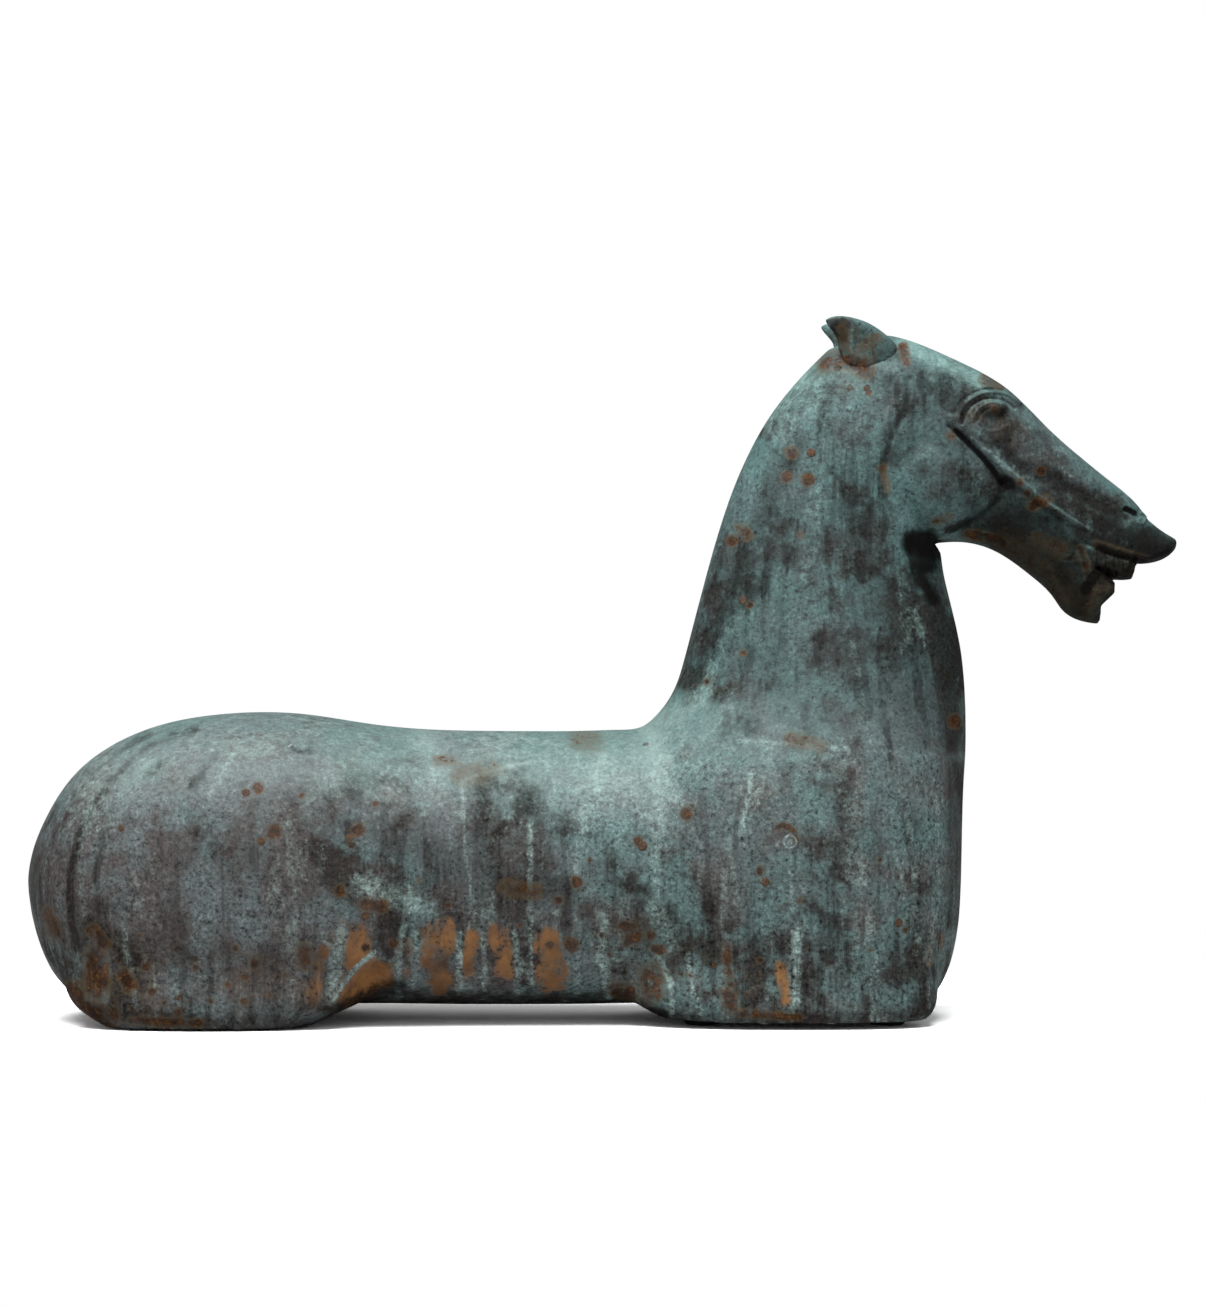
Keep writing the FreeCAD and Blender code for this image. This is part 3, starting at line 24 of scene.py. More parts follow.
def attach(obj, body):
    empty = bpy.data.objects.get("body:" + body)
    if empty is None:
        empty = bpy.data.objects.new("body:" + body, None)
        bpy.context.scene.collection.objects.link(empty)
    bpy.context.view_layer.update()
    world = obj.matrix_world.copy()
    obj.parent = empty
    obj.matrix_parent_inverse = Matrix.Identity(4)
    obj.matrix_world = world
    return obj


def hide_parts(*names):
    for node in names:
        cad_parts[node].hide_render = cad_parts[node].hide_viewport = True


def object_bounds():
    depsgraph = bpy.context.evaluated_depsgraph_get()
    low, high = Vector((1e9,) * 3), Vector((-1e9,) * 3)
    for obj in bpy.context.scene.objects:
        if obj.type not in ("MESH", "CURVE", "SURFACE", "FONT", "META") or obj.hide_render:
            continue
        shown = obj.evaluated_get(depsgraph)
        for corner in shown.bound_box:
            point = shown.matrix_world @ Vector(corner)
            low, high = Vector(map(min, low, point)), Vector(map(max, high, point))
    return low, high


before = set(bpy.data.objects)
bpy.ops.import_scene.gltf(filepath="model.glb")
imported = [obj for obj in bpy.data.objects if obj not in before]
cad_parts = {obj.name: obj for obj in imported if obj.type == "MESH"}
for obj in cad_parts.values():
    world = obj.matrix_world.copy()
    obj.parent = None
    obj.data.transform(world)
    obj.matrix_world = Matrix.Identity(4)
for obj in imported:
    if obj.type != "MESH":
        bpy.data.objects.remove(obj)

CAD_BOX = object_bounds()
MM = 0.001
HAIR = 0.001 * MM
LOG = logging.getLogger("horse_statue")

Line = tuple[tuple[float, float], ...]
Triple = tuple[float, float, float]
Stops = tuple[tuple[float, Triple], ...]


class Coat(Enum):
    """What can lie on the iron, with painted shade, shadow and highlights among them. Each value names the
    painted layer on the skin.
    """

    PALE = "pale"
    DARK = "dark"
    RUST = "rust"
    COPPER = "copper"
    BLACK_SHADE_AND_DIRT = "black_shade_and_dirt"
    PITS = "pits"


# Lines on the skin


def ease(values: np.ndarray, low: float, high: float) -> np.ndarray:
    """Runs smoothly from 0 at low to 1 at high."""
    share = np.clip((values - low) / (high - low), 0.0, 1.0)
    return share * share * (3 - 2 * share)


def rounded(line: Line, steps: int) -> Line:
    """The same line with its corners rounded.

    Args:
        line: places that the line passes through.
        steps: places on each stretch between them.

    Returns:
        A finer line through the same places.
    """
    if len(line) < 3:
        return line
    ends = (line[0],) + line + (line[-1],)
    fine = [
        tuple(
            0.5 * (2 * b + (c - a) * t + (2 * a - 5 * b + 4 * c - d) * t**2 + (3 * b - a - 3 * c + d) * t**3)
            for a, b, c, d in zip(*around)
        )
        for around in zip(ends, ends[1:], ends[2:], ends[3:])
        for t in (step / steps for step in range(steps))
    ]
    return tuple(fine) + (line[-1],)


@dataclass(frozen=True)
class Stroke:
    """A line seen from the side, in millimetres along and up on the middle plane.

    Its amount is a share for a stain, and millimetres outwards for a form, so a groove is below zero.
    """

    width: float
    amount: float
    line: Line

    def distance(self, places: np.ndarray, reach: float) -> np.ndarray:
        """Distance from each place to the line, in widths, where it is within reach.

        Args:
            places: where to measure, one row each, in millimetres.
            reach: how many widths away it matters.

        Returns:
            One distance for each place, endless beyond the reach.
        """
        corners, margin = np.array(self.line), reach * self.width
        low, high = corners.min(axis=0) - margin, corners.max(axis=0) + margin
        close = np.flatnonzero(((places > low) & (places < high)).all(axis=1))
        near = places[close]
        nearest = np.full(len(near), np.inf)
        for foot, end in zip(corners, corners[1:] if len(corners) > 1 else corners):
            along = end - foot
            share = np.clip((near - foot) @ along / max(along @ along, 1e-9), 0.0, 1.0)
            gap = near - foot - share[:, None] * along
            nearest = np.minimum(nearest, np.hypot(gap[:, 0], gap[:, 1]))
        distances = np.full(len(places), np.inf)
        distances[close] = nearest / self.width
        return distances

    def cover(self, places: np.ndarray, full: float, gone: float) -> np.ndarray:
        """How much of the stroke lies on each place.

        Args:
            places: where to look, one row each, in millimetres.
            full: how many widths away the stroke is still whole.
            gone: how many widths away nothing is left of it.

        Returns:
            Shares from 0 to 1.
        """
        return 1 - ease(self.distance(places, gone), full, gone)


def strokes(*rows: tuple[float, ...], steps: int = 5) -> tuple[Stroke, ...]:
    """Strokes from rows of width, amount and then the line's places, along and up in turn.

    Args:
        rows: one row for each stroke.
        steps: how finely the corners are rounded, 1 to keep them sharp.

    Returns:
        The strokes.
    """
    return tuple(
        Stroke(width, amount, rounded(tuple(zip(places[::2], places[1::2])), steps))
        for width, amount, *places in rows
    )


def spots(*rows: tuple[float, ...]) -> tuple[Stroke, ...]:
    """Round spots from rows of width, amount and then the middle of each spot."""
    return tuple(
        Stroke(width, amount, (middle,))
        for width, amount, *places in rows
        for middle in zip(places[::2], places[1::2])
    )


# Stains, painted shade and painted highlights, forms and creases, each row a width, an amount and the line's
# places
# Pale lime streaks of the crust; the thin pale lines along the cheek, cheekbone and nose ridges are painted
# highlights
STAINS_AND_PAINTED_LIGHT: dict[Coat, tuple[Stroke, ...]] = {
    Coat.PALE: strokes(
        (12.5, 0.75, -231, 128, -198, 118, -170, 105), (7.7, 0.75, -249, 85, -256, 55, -260, 22),
        (2.7, 0.9, -219, 64, -240, 45, -258, 18), (4, 0.7, -191, 90, -195, 57, -196, 22),
        (2.7, 0.6, -178, 85, -181, 28), (4, 0.75, -137, 81, -138, 28), (2.7, 0.7, -114, 81, -113, 28),
        (3.4, 0.6, -83, 85, -81, 28), (2.7, 0.65, -69, 191, -69, 114, -68, 33),
        (3.4, 0.65, -23, 66, -24, 26), (4.7, 0.75, 0, 100, 1, 57, 6, 24),
        (8.6, 0.7, 50, 109, 59, 90, 65, 71), (3, 1, 48, 66, 59, 49, 66, 28, 67, 7),
        (2.7, 1, 82, 62, 86, 34, 94, 6), (4, 0.7, 186, 85, 187, 16), (3.4, 0.6, 180, 162, 181, 106),
        (3.4, 0.55, 122, 174, 130, 106), (8.6, 0.55, 54, 229, 55, 114),
        (13.4, 0.5, 46, 279, 55, 248, 63, 218), (9.6, 0.45, -2, 248, -12, 210, -26, 143),
        (2.7, 0.95, 143, 239, 140, 210, 131, 177), (8.6, 0.45, 161, 258, 151, 220, 137, 181),
        (1.7, 0.4, -134, 229, -103, 239, -64, 247, -50, 241, -45, 215),
        (2, 0.6, -135, 227, -132, 172, -127, 133, -121, 100), (2.3, 0.6, 130, 267, 180, 264, 237, 259),
        (2.3, 0.45, 261, 258, 320, 252), (7.7, 0.6, 214, 579, 208, 526, 202, 469, 195, 421),
        (11.5, 0.35, 195, 411, 195, 383, 189, 344), (23, 0.4, 239, 598, 239, 555, 235, 531),
        (13.4, 0.4, 234, 450, 226, 402, 218, 383), (19.2, 0.6, 189, 620, 203, 594, 176, 567),
        (7.7, 0.7, 130, 387, 109, 344, 95, 306), (4, 0.6, 151, 402, 130, 371),
        (2.7, 0.35, 122, 306, 128, 272), (12.5, 0.55, 47, 287, 67, 294, 84, 306),
        (4.7, 0.45, 282, 620, 287, 600, 280, 582, 268, 562, 262, 532, 261, 501, 270, 482, 287, 466),
        (16.3, 0.4, 338, 507, 357, 513, 367, 507), (7.2, 0.4, 334, 573, 352, 559, 374, 543, 395, 519),
        (7.2, 0.34, 416, 503, 435, 491, 452, 480, 470, 470, 491, 463, 512, 460),
        (4.7, 0.3, 389, 567, 424, 538, 463, 510, 489, 492), (57.5, 0.16, 94, 220, 151, 191, 228, 210),
        (7.7, 0.55, 226, 594, 234, 555, 226, 498), (3.4, 0.5, 182, 440, 177, 402, 180, 363),
        (47.9, 0.25, -2, 210, 84, 210), (38.4, 0.18, 276, 210, 309, 114), (28.8, 0.2, 189, 479, 237, 440),
        (7.7, 0.65, 290, 648, 328, 630, 360, 611), (4, 0.45, 309, 640, 343, 615),
        (11.5, 0.4, 279, 500, 290, 486, 309, 474), (2.7, 0.9, 238, 661, 239, 649, 240, 640),
        (2.7, 0.3, -351, 260, -371, 224, -382, 205), (7.7, 0.3, -434, 244, -463, 210, -482, 162),
        (3.4, 0.55, -461, 105, -455, 57, -447, 13), (3.4, 0.45, -409, 61, -409, 13),
        (2.7, 0.4, -490, 210, -501, 162, -497, 95), (7.7, 0.4, 276, 440, 293, 397, 309, 363),
        (4, 0.5, 279, 244, 297, 162, 302, 76), (4.7, 0.45, 319, 229, 322, 133, 314, 57),
        (7.7, 0.45, 237, 210, 247, 133), (8.6, 0.15, -300, 114, -290, 85),
        (13.4, 0.2, -213, 220, -247, 239, -281, 210), (11.5, 0.25, -175, 268, -156, 248, -165, 210),
        (9.6, 0.4, 290, 383, 300, 325), (4.7, 0.5, 94, 440, 113, 455),
        (4, 0.45, 240, 363, 249, 306, 257, 268),
    ),
    # Dark patches of the crust; painted shade along the tail grooves, under the jaw and down the front of
    # the neck and chest where they turn from the light; darker bands along the bottom edge
    Coat.DARK: strokes(
        (57.5, 0.46, 151, 316, 228, 306, 266, 316), (57.5, 0.26, 94, 181, 189, 114, 266, 133),
        (23, 0.75, -112, 215, -110, 162, -106, 124), (21.1, 0.7, -71, 220, -66, 162, -60, 124),
        (17.3, 0.85, -98, 131, -70, 129, -39, 124), (24.9, 0.6, -194, 176, -164, 162, -146, 141),
        (32.6, 0.35, -378, 167, -327, 151), (28.8, 0.3, -261, 210, -290, 181),
        (3.8, 0.95, -390, 278, -436, 261, -472, 227, -497, 188, -509, 143, -510, 100, -504, 67),
        (2.9, 0.75, -434, 273, -479, 244, -510, 206, -528, 167),
        (3.8, 0.6, -420, 248, -453, 220, -477, 181, -487, 133), (5.8, 0.8, -365, 260, -378, 244, -392, 225),
        (9.6, 0.45, -516, 248, -536, 196, -543, 138, -530, 71),
        (12.5, 0.7, 189, 555, 161, 498, 143, 455, 130, 411, 105, 354, 84, 311),
        (8.6, 0.55, 168, 498, 159, 440, 155, 402), (11.5, 0.5, 175, 402, 170, 344, 178, 287),
        (19.2, 0.45, 146, 354, 151, 306, 156, 282), (14.4, 0.4, 230, 517, 239, 474),
        (26.9, 0.45, 255, 392, 234, 354, 262, 306), (24.9, 0.35, 290, 316, 300, 277),
        (14.4, 0.9, 312, 429, 324, 373, 331, 316, 335, 268), (9.6, 0.75, 341, 239, 341, 162, 337, 95),
        (44.1, 1, 391, 474, 427, 440, 458, 402), (67.1, 0.34, 223, 517, 237, 402, 257, 316),
        (44.1, 0.4, 137, 344, 189, 316, 237, 316), (42.2, 0.6, 271, 411, 290, 354, 300, 306),
        (47.9, 0.5, -290, 210, -194, 191), (47.9, 0.34, 156, 440, 127, 344),
        (44.1, 0.46, 314, 594, 348, 526), (38.4, 0.14, 400, 560, 468, 498), (28.8, 0.8, 477, 469, 525, 455),
        (21.1, 0.7, 381, 464, 420, 411, 458, 397), (67.1, 0.25, -357, 162, -261, 143),
        (57.5, 0.48, -98, 181, -79, 143), (38.4, 0.3, -520, 57, -386, 18, -261, 28),
        (47.9, 0.3, 113, 57, 285, 37), (8.6, 1, 475, 459, 498, 452, 521, 447, 544, 452),
        (7.7, 0.9, 535, 461, 546, 457), (19.2, 0.95, 472, 435, 501, 429), (10.5, 0.6, 364, 582, 383, 584),
        (8.6, 0.6, 504, 486, 515, 479), (57.5, 0.28, 266, 392, 290, 306),
        (11.5, 0.6, -539, 210, -547, 133, -535, 66, -511, 18), (17.3, 0.8, 357, 471, 391, 464),
        (9.6, 0.7, 421, 523, 446, 508, 477, 494, 506, 477), (16.3, 0.65, 300, 618, 319, 605, 333, 592),
        (15.3, 0.4, 285, 555, 303, 526, 314, 555), (8.6, 0.7, 362, 607, 385, 605, 400, 589),
        (8.6, 0.4, 357, 589, 367, 565, 386, 563, 397, 576), (8.6, 0.7, -496, 9, -396, -3, -290, -5),
        (7.7, 0.85, -261, 7, -213, 18, -98, 17, 17, 17, 50, 7), (6.7, 0.6, 60, 1, 180, -1, 309, 7),
        (24.9, 0.4, 94, 66, 122, 33, 170, 57), (28.8, 0.3, 218, 152, 237, 85),
        (13.4, 0.6, 233, 661, 258, 651, 276, 634), (9.6, 0.6, 255, 620, 271, 615),
        (15.3, 0.45, -242, 220, -244, 196), (6.7, 0.6, -242, 236, -234, 231), (17.3, 0.4, -2, 143, 36, 114),
        (7.7, 0.45, -482, 109, -465, 106), (3.8, 0.8, -304, 263, -294, 257, -281, 257, -275, 264),
    ),
    Coat.RUST: strokes(
        (15.3, 0.3, 386, 454.6, 414.8, 435.4, 448.3, 401.8), (9.6, 0.35, 477.1, 421, 462.7, 387.4),
        (5.8, 1, -226.8, 110.3, -212.4, 108.4), (6.7, 0.9, -285.3, 65.2, -286.3, 54.7),
        (5.8, 0.8, -489.6, 85.4, -478.1, 71.9), (5.8, 0.7, -531.8, 102.6, -525.1, 80.6),
        (9.6, 0.75, -485.7, 61.4, -483.8, 27.8), (5.8, 0.8, -458.9, 43.2, -453.1, 31.6),
        (7.7, 0.8, -508.7, 27.8, -497.2, 10.5, -470.4, 0), (3.8, 0.6, -453.1, -1.9, -386, -3.8),
        (7.7, 0.55, -93.5, 127.5, -64.7, 120.8), (4.8, 1, 20.6, 89.2, 26.4, 87.3),
        (5.3, 1, 26.4, 76.7, 32.1, 78.6), (4.3, 1, 50.3, 67.1, 56.1, 66.2),
        (11.5, 0.75, 45.6, 41.2, 46.5, 25.9), (7.7, 0.6, 13.9, 27.8, 26.4, 24.9),
        (3.8, 0.7, 118.4, 71, 122.3, 32.6), (6.7, 0.85, 120.4, 23, 123.2, 12.5),
        (3.8, 0.6, 127.1, 5.8, 189.4, 1.9),
        (2.9, 0.8, 167.3, 183.2, 174.1, 185.1, 182.7, 180.3, 185.6, 171.7),
        (5.8, 0.5, 131.9, 470.9, 139.5, 464.2), (5.8, 0.65, 412.8, 492.9, 425.3, 497.7),
        (5.8, 0.6, 365.9, 612.8, 382.2, 609), (3.8, 0.45, 473.3, 455.5, 496.3, 447.9, 521.2, 441.1),
        (4.8, 0.75, 350.5, 465.1, 371.6, 461.3, 384.1, 456.5),
        (3.8, 0.5, 457.9, 451.7, 465.6, 425.8, 467.5, 401.8), (4.8, 0.45, 269, 528.4, 273.8, 509.2),
        (4.8, 0.4, 333.3, 482.4, 318.9, 476.6), (7.7, 0.75, 215.3, 630.1, 232.6, 632, 252.7, 624.3),
        (4.3, 0.9, 288.2, 644.4, 291.1, 630.1), (4.8, 0.3, 229.7, 662.7, 237.4, 639.7, 262.3, 653.1),
        (11.5, 0.35, -136.7, 234, -106, 238.8), (5.8, 0.45, -157.8, 247.4, -146.2, 248.4),
        (13.4, 0.35, -21.6, 272.4, -12, 265.6), (9.6, 0.35, 414.8, 459.4, 438.7, 449.8),
        (7.7, 0.45, 208.6, 262.8, 179.8, 267.6),
    ) + spots(
        (2.9, 0.9, -304.5, 42.2, -274.8, 48.9, -217.2, 206.2, 141.5, 397),
        (2.9, 0.8, -359.1, 32.6, -148.2, 109.3, -175, 133.3, -79.1, 90.1, 83.9, 42.2, 151, 56.6, 290.1,
         85.4, -288.2, 213.9, -419.6, 15.3, -375.4, 17.3, -352.4, 68.1, 100.2, 323.2),
        (3.4, 0.8, -389.8, 48.9, -407.1, 6.7, 134.7, 351), (2.4, 0.9, -318.9, 23, -0.5, 80.6),
        (2.4, 0.8, -443.5, 80.6, -12, 152.5, 7.2, 61.4, 189.4, 114.1, 266.1, 152.5, 256.5, 66.2),
        (5.3, 1, -330.4, 221.5, 176, 519.8), (6.7, 1, -316, 179.3),
        (5.8, 1, -234.5, 181.3, 80.1, 196.6, 181.7, 542.8, 197.1, 516.9, 338, 285.8),
        (3.4, 1, -240.2, 166.9), (4.8, 1, -251.7, 122.8, 35, 169.7, 124.2, 458.4),
        (3.8, 1, -226.8, 68.1, -200, 72.9, 23.5, 71.9), (4.3, 1, -333.3, 52.7, 46.5, 80.6, 151, 141.9),
        (3.4, 0.9, -461.8, 182.2, -437.8, 49.9, -432, 25.9, -343.8, 17.3, -341.9, 41.2),
        (4.8, 0.9, -41.7, 114.1), (5.3, 0.9, -24.5, 131.4), (7.7, 0.9, -30.2, 71), (3.8, 0.8, -50.3, 71),
        (3.8, 0.6, 189.4, 464.2), (3.8, 0.9, 407.1, 503.5), (4.3, 0.9, 420.5, 525.5),
        (3.8, 0.7, 376.4, 584), (4.3, 0.6, 400.4, 515), (4.8, 0.5, 334.2, 559.1),
    ),
    Coat.COPPER: strokes(
        (14.4, 0.9, -240, 78, -234, 47), (12.5, 1, -247, 26, -231, 34, -211, 43),
        (8.6, 0.8, -269, 61, -277, 18), (14.4, 0.9, -156, 82, -159, 58, -152, 39),
        (7.7, 0.55, -189, 72, -190, 47), (7.7, 0.6, -125, 78, -130, 49), (9.6, 0.65, -100, 82, -93, 47),
        (13.4, 0.8, -54, 72, -48, 39), (6.7, 0.5, 314, 57, 322, 76), (5.8, 0.4, 170, 52, 175, 18),
    ),
    # Black layer: painted shadow behind and under the jaw, under the hip, at the rear foot of the fore stub
    # and in the mouth line, nostril and eye, and a dark ring round a croup plug
    Coat.BLACK_SHADE_AND_DIRT: strokes(
        (8.6, 0.55, -246.9, 12.5, -221, 24, -194.2, 33.6),
        (12.5, 1, 300.6, 454.6, 312.2, 453.6, 308.3, 438.3),
        (42.2, 0.42, 395.6, 469, 429.2, 440.2, 462.7, 411.4), (23, 0.4, 481.9, 469, 525.1, 456.5),
        (13.4, 0.22, 425.3, 515, 446.4, 505.4, 477.1, 490), (4.8, 0.9, 47.5, 6.7, 59, 3.8),
        (4.8, 0.75, 477.1, 451.7, 500.1, 444, 525.1, 439.2, 542.3, 447.9),
        (4.8, 0.55, 367.8, 581.2, 381.2, 582.1), (12.5, 0.55, 438.7, 430.6, 459.8, 401.8),
        (13.4, 0.55, 477.1, 430.6, 498.2, 426.8), (6.7, 0.7, 300.6, 430.6, 317.9, 401.8),
        (2.9, 0.8, 339, 563.9, 353.4, 549.5, 369.7, 532.2, 384.1, 512.1, 392.7, 511.1),
        (5.8, 0.55, 385, 516.9, 390.8, 513.1),
        (2.9, 0.45, 380.2, 499.6, 364.9, 485.3, 349.6, 475.7, 335.2, 469),
        (2.9, 0.38, -300.6, 265.6, -296.8, 258.9, -289.1, 256.1, -281.5, 259.9, -279.5, 265.6),
        (2.4, 0.2, -298.7, 268.5, -289.1, 272.4, -280.5, 268.5), (2.9, 1, 502, 489.1, 509.7, 485.3),
        (5.8, 1, 462.7, 411.4, 477.1, 430.6, 488.6, 422.9), (9.6, 0.5, 453.1, 397, 462.7, 387.4),
        (3.8, 0.6, 523.1, 486.2, 534.6, 473.7),
    ),
    Coat.PITS: strokes(
        (43.2, 0.6, -472, 33, -290, 33), (28.8, 0.6, 36, 282, 94, 306), (21.1, 0.9, 218, 632, 247, 613),
        (23, 0.9, 472, 435, 496, 435), (19.2, 0.7, 367, 574, 381, 570), (28.8, 0.5, 36, 85, 132, 28),
        (28.8, 0.4, -252, 114, -194, 114), (17.3, 0.7, 237, 656, 257, 646),
    ),
}
SAME_ON_BOTH_SIDES = (Coat.RUST, Coat.BLACK_SHADE_AND_DIRT)
RELIEFS = strokes(
    (4.3, -0.9, -389.8, 279.1, -435.9, 260.8, -472.3, 227.3, -497.2, 188, -508.7, 142.9, -509.7, 99.7, -504,
     67.1),
    (4.3, -0.7, -437.8, 275.2, -479, 245.5, -509.7, 207.1, -527.9, 166.9, -534.6, 128.5, -533.7, 97.8),
    (9.6, 0.8, -460.8, 270.4, -493.4, 234, -516.4, 195.6, -527, 157.3, -529.8, 123.7, -526, 94.9),
    (11.5, -4, -209.5, 50.8, -230.6, 32.6, -242.1, 16.3),
    (5.8, -1.4, 270, 301.1, 277.6, 248.4, 285.3, 217.7, 296.8, 152.5, 302.6, 114.1, 300.6, 75.8),
    (2.4, -1, 211.5, 578.3, 198, 519.8, 185.6, 464.2, 175, 421, 173.1, 370.2, 181.7, 332.8),
    (8.6, -1.6, 293, 464.2, 297.8, 436.3, 303.5, 401.8), (15.3, -4.5, 302.6, 451.7, 316, 447.9),
    (10.5, 1.3, 282.4, 620.5, 287.2, 600.3, 279.5, 582.1, 268, 562, 262.3, 532.2, 261.3, 500.6, 270, 482.4,
     287.2, 466.1),
    (5.8, -1, 293, 612.8, 293, 595.5, 286.3, 576.4, 275.7, 555.3, 270, 530.3, 270, 503.5, 277.6, 488.1),
    (4.3, -3, 332.3, 568.7, 353.4, 549.5, 370.7, 530.3, 385, 513.1),
    (6.7, -3, 385, 513.1, 381.2, 498.7, 365.9, 484.3, 348.6, 474.7, 331.3, 469),
    (7.7, 1.6, 334.2, 576.4, 352.4, 562.9, 373.5, 546.6, 394.6, 524.6, 415.7, 507.3),
    (11.5, -3, 425.3, 520.7, 446.4, 508.3, 477.1, 492.9, 500.1, 480.5),
    (11.5, -1.6, 381.2, 548.5, 405.2, 526.5), (10.5, 2, 375.4, 581.2),
    (2.3, -1.8, 344.8, 570.6, 348.6, 581.2, 357.2, 590.7, 369.7, 595.5, 385, 593.6, 395.6, 585.9),
    (2.1, 1.4, 340.9, 574.4, 344.8, 585, 354.4, 594.6, 368.7, 600.3, 387, 598.4, 400.4, 589.8),
    (1.7, -0.9, 338, 580.2, 342.8, 590.7, 353.4, 599.4, 367.8, 604.2, 385, 603.2),
    (1.9, 1.3, 354.4, 573.5, 360.1, 584, 371.6, 590.7, 384.1, 588.8, 392.7, 581.2),
    (1.7, -1.4, 359.1, 573.5, 364.9, 582.1, 373.5, 585.9, 383.1, 584, 388.9, 577.3),
    (2.5, 0.8, 357.2, 568.7, 366.8, 563.9, 378.3, 563.9, 388.9, 569.6),
    (8.6, -1.2, 352.4, 559.1, 369.7, 550.5, 387, 555.3),
    (2.9, -2.6, 502, 489.1, 508.7, 486.2, 513.5, 481.4),
    (2.1, 1.4, 513.5, 475.7, 518.3, 474.7, 520.3, 480.5, 516.4, 485.3),
    (1.7, -1.6, 474.2, 449.8, 475.2, 426.8), (1.7, -1.6, 482.9, 446.9, 483.8, 424.8),
    (1.7, -1.6, 491.5, 444, 492.4, 424.8), (1.7, -1.4, 500.1, 442.1, 500.1, 427.7),
    (3.4, -2.6, 463.7, 456.5, 480.9, 447.9, 500.1, 442.1, 519.3, 438.3),
    (4.8, -2.2, 454.1, 454.6, 461.8, 430.6, 465.6, 401.8),
)
CRAGS = strokes(
    (26, 1.8, 462, 440, 480, 420, 500, 436), (12, 1.2, 228, 632, 246, 622),
    steps=1,
)
CREASES = strokes(
    (28.8, 1, 288, 493, 286, 522, 293, 544, 309, 555, 327, 558), (47.9, 1, -554, 33, -518, 30, -487, 28),
    (47.9, 1, 304, 39, 362, 39), (82.5, 1, 47, 9, 47, 57, 50, 133, 57, 210, 65, 263),
    (53.7, 1, -559, 85, -520, 57, -463, 55, -386, 52, -290, 55, -237, 66),
    (49.9, 1, 46, 52, 151, 49, 247, 49, 328, 52),
)


@dataclass(frozen=True)
class SideView:
    """The horse as seen square from either side, drawn on its middle plane."""

    distance: float = 3.84
    level: float = 0.349
    wander: float = 26.0
    wander_share: float = 0.6
    waves: tuple[float, float] = (61.0, 83.0)
    ridge: float = 0.03

    def flatten(self, points: np.ndarray) -> np.ndarray:
        """Where points are seen, in millimetres along and up.

        Args:
            points: places in metres, one row each.

        Returns:
            Two columns, along and up.
        """
        reach = self.distance / (self.distance - np.abs(points[:, 1]))
        along = points[:, 0] * reach
        up = self.level + (points[:, 2] - self.level) * reach
        return np.stack((along, up), axis=1) / MM

    def stain_places(self, points: np.ndarray) -> np.ndarray:
        """The same, but the left side's stains wander, so that no side copies the other.

        Args:
            points: places in metres, one row each.

        Returns:
            Two columns, along and up.
        """
        flat = self.flatten(points)
        along = self.wander * (self.wander_share + np.sin(flat[:, 1] / self.waves[0]))
        up = self.wander_share * self.wander * np.sin(flat[:, 0] / self.waves[1])
        return flat + ease(points[:, 1], 0.0, self.ridge)[:, None] * np.stack((along, up), axis=1)


VIEW = SideView()


# Selecting, copying and applying


def select_only(*objects: Object) -> None:
    """Selects these objects alone, the first of them active.

    Args:
        objects: what the next operator acts on.
    """
    bpy.ops.object.select_all(action="DESELECT")
    for piece in objects:
        piece.select_set(True)
    bpy.context.view_layer.objects.active = objects[0]


@contextmanager
def editing(selected: str | None = None) -> Iterator[None]:
    """Edit mode on the active mesh and back.

    Args:
        selected: SELECT or DESELECT for all of the mesh, or nothing to keep what is selected.
    """
    bpy.ops.object.mode_set(mode="EDIT")
    if selected:
        bpy.ops.mesh.select_all(action=selected)
    yield
    bpy.ops.object.mode_set(mode="OBJECT")


def select_parts(piece: Object, kind: str, chosen: list[bool] | np.ndarray) -> None:
    """Selects the chosen vertices or polygons of the active mesh and no others."""
    with editing("DESELECT"):
        pass
    getattr(piece.data, kind).foreach_set("select", chosen)


def apply_modifier(piece: Object, kind: str, **settings: object) -> None:
    """Adds a modifier with these settings to a mesh object and applies it.

    Args:
        piece: the mesh object.
        kind: the modifier's type.
        settings: its properties.
    """
    select_only(piece)
    modifier = piece.modifiers.new(kind.lower(), kind)
    for key, value in settings.items():
        setattr(modifier, key, value)
    bpy.ops.object.modifier_apply(modifier=modifier.name)


def add_object(name: str, data: bpy.types.ID) -> Object:
    """A new object in the scene that holds this mesh, lamp or camera."""
    made = bpy.data.objects.new(name, data)
    bpy.context.scene.collection.objects.link(made)
    return made


def copy_node(node: str, name: str) -> Object:
    """A copy of a CAD node's mesh with its loose triangles merged.

    Args:
        node: the CAD node's name.
        name: the new object's name.

    Returns:
        The new object, in the scene.
    """
    piece = add_object(name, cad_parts[node].data.copy())
    piece.data.materials.clear()
    select_only(piece)
    with editing("SELECT"):
        bpy.ops.mesh.remove_doubles(threshold=10 * HAIR)
    return piece


def finish_piece(piece: Object, name: str, node: str, coat: Material, crease: float) -> None:
    """Names a piece, coats it, smooths its shading and puts it in its CAD node's place.

    Args:
        piece: the mesh object.
        name: its name.
        node: the CAD node that it replaces.
        coat: its material.
        crease: degrees between two faces from which their edge stays sharp.
    """
    piece.name = piece.data.name = name
    piece.data.materials.clear()
    piece.data.materials.append(coat)
    select_only(piece)
    bpy.ops.object.shade_smooth_by_angle(angle=math.radians(crease))
    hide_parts(node)
    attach(piece, "root")
    LOG.info("%s: %d faces", name, len(piece.data.polygons))


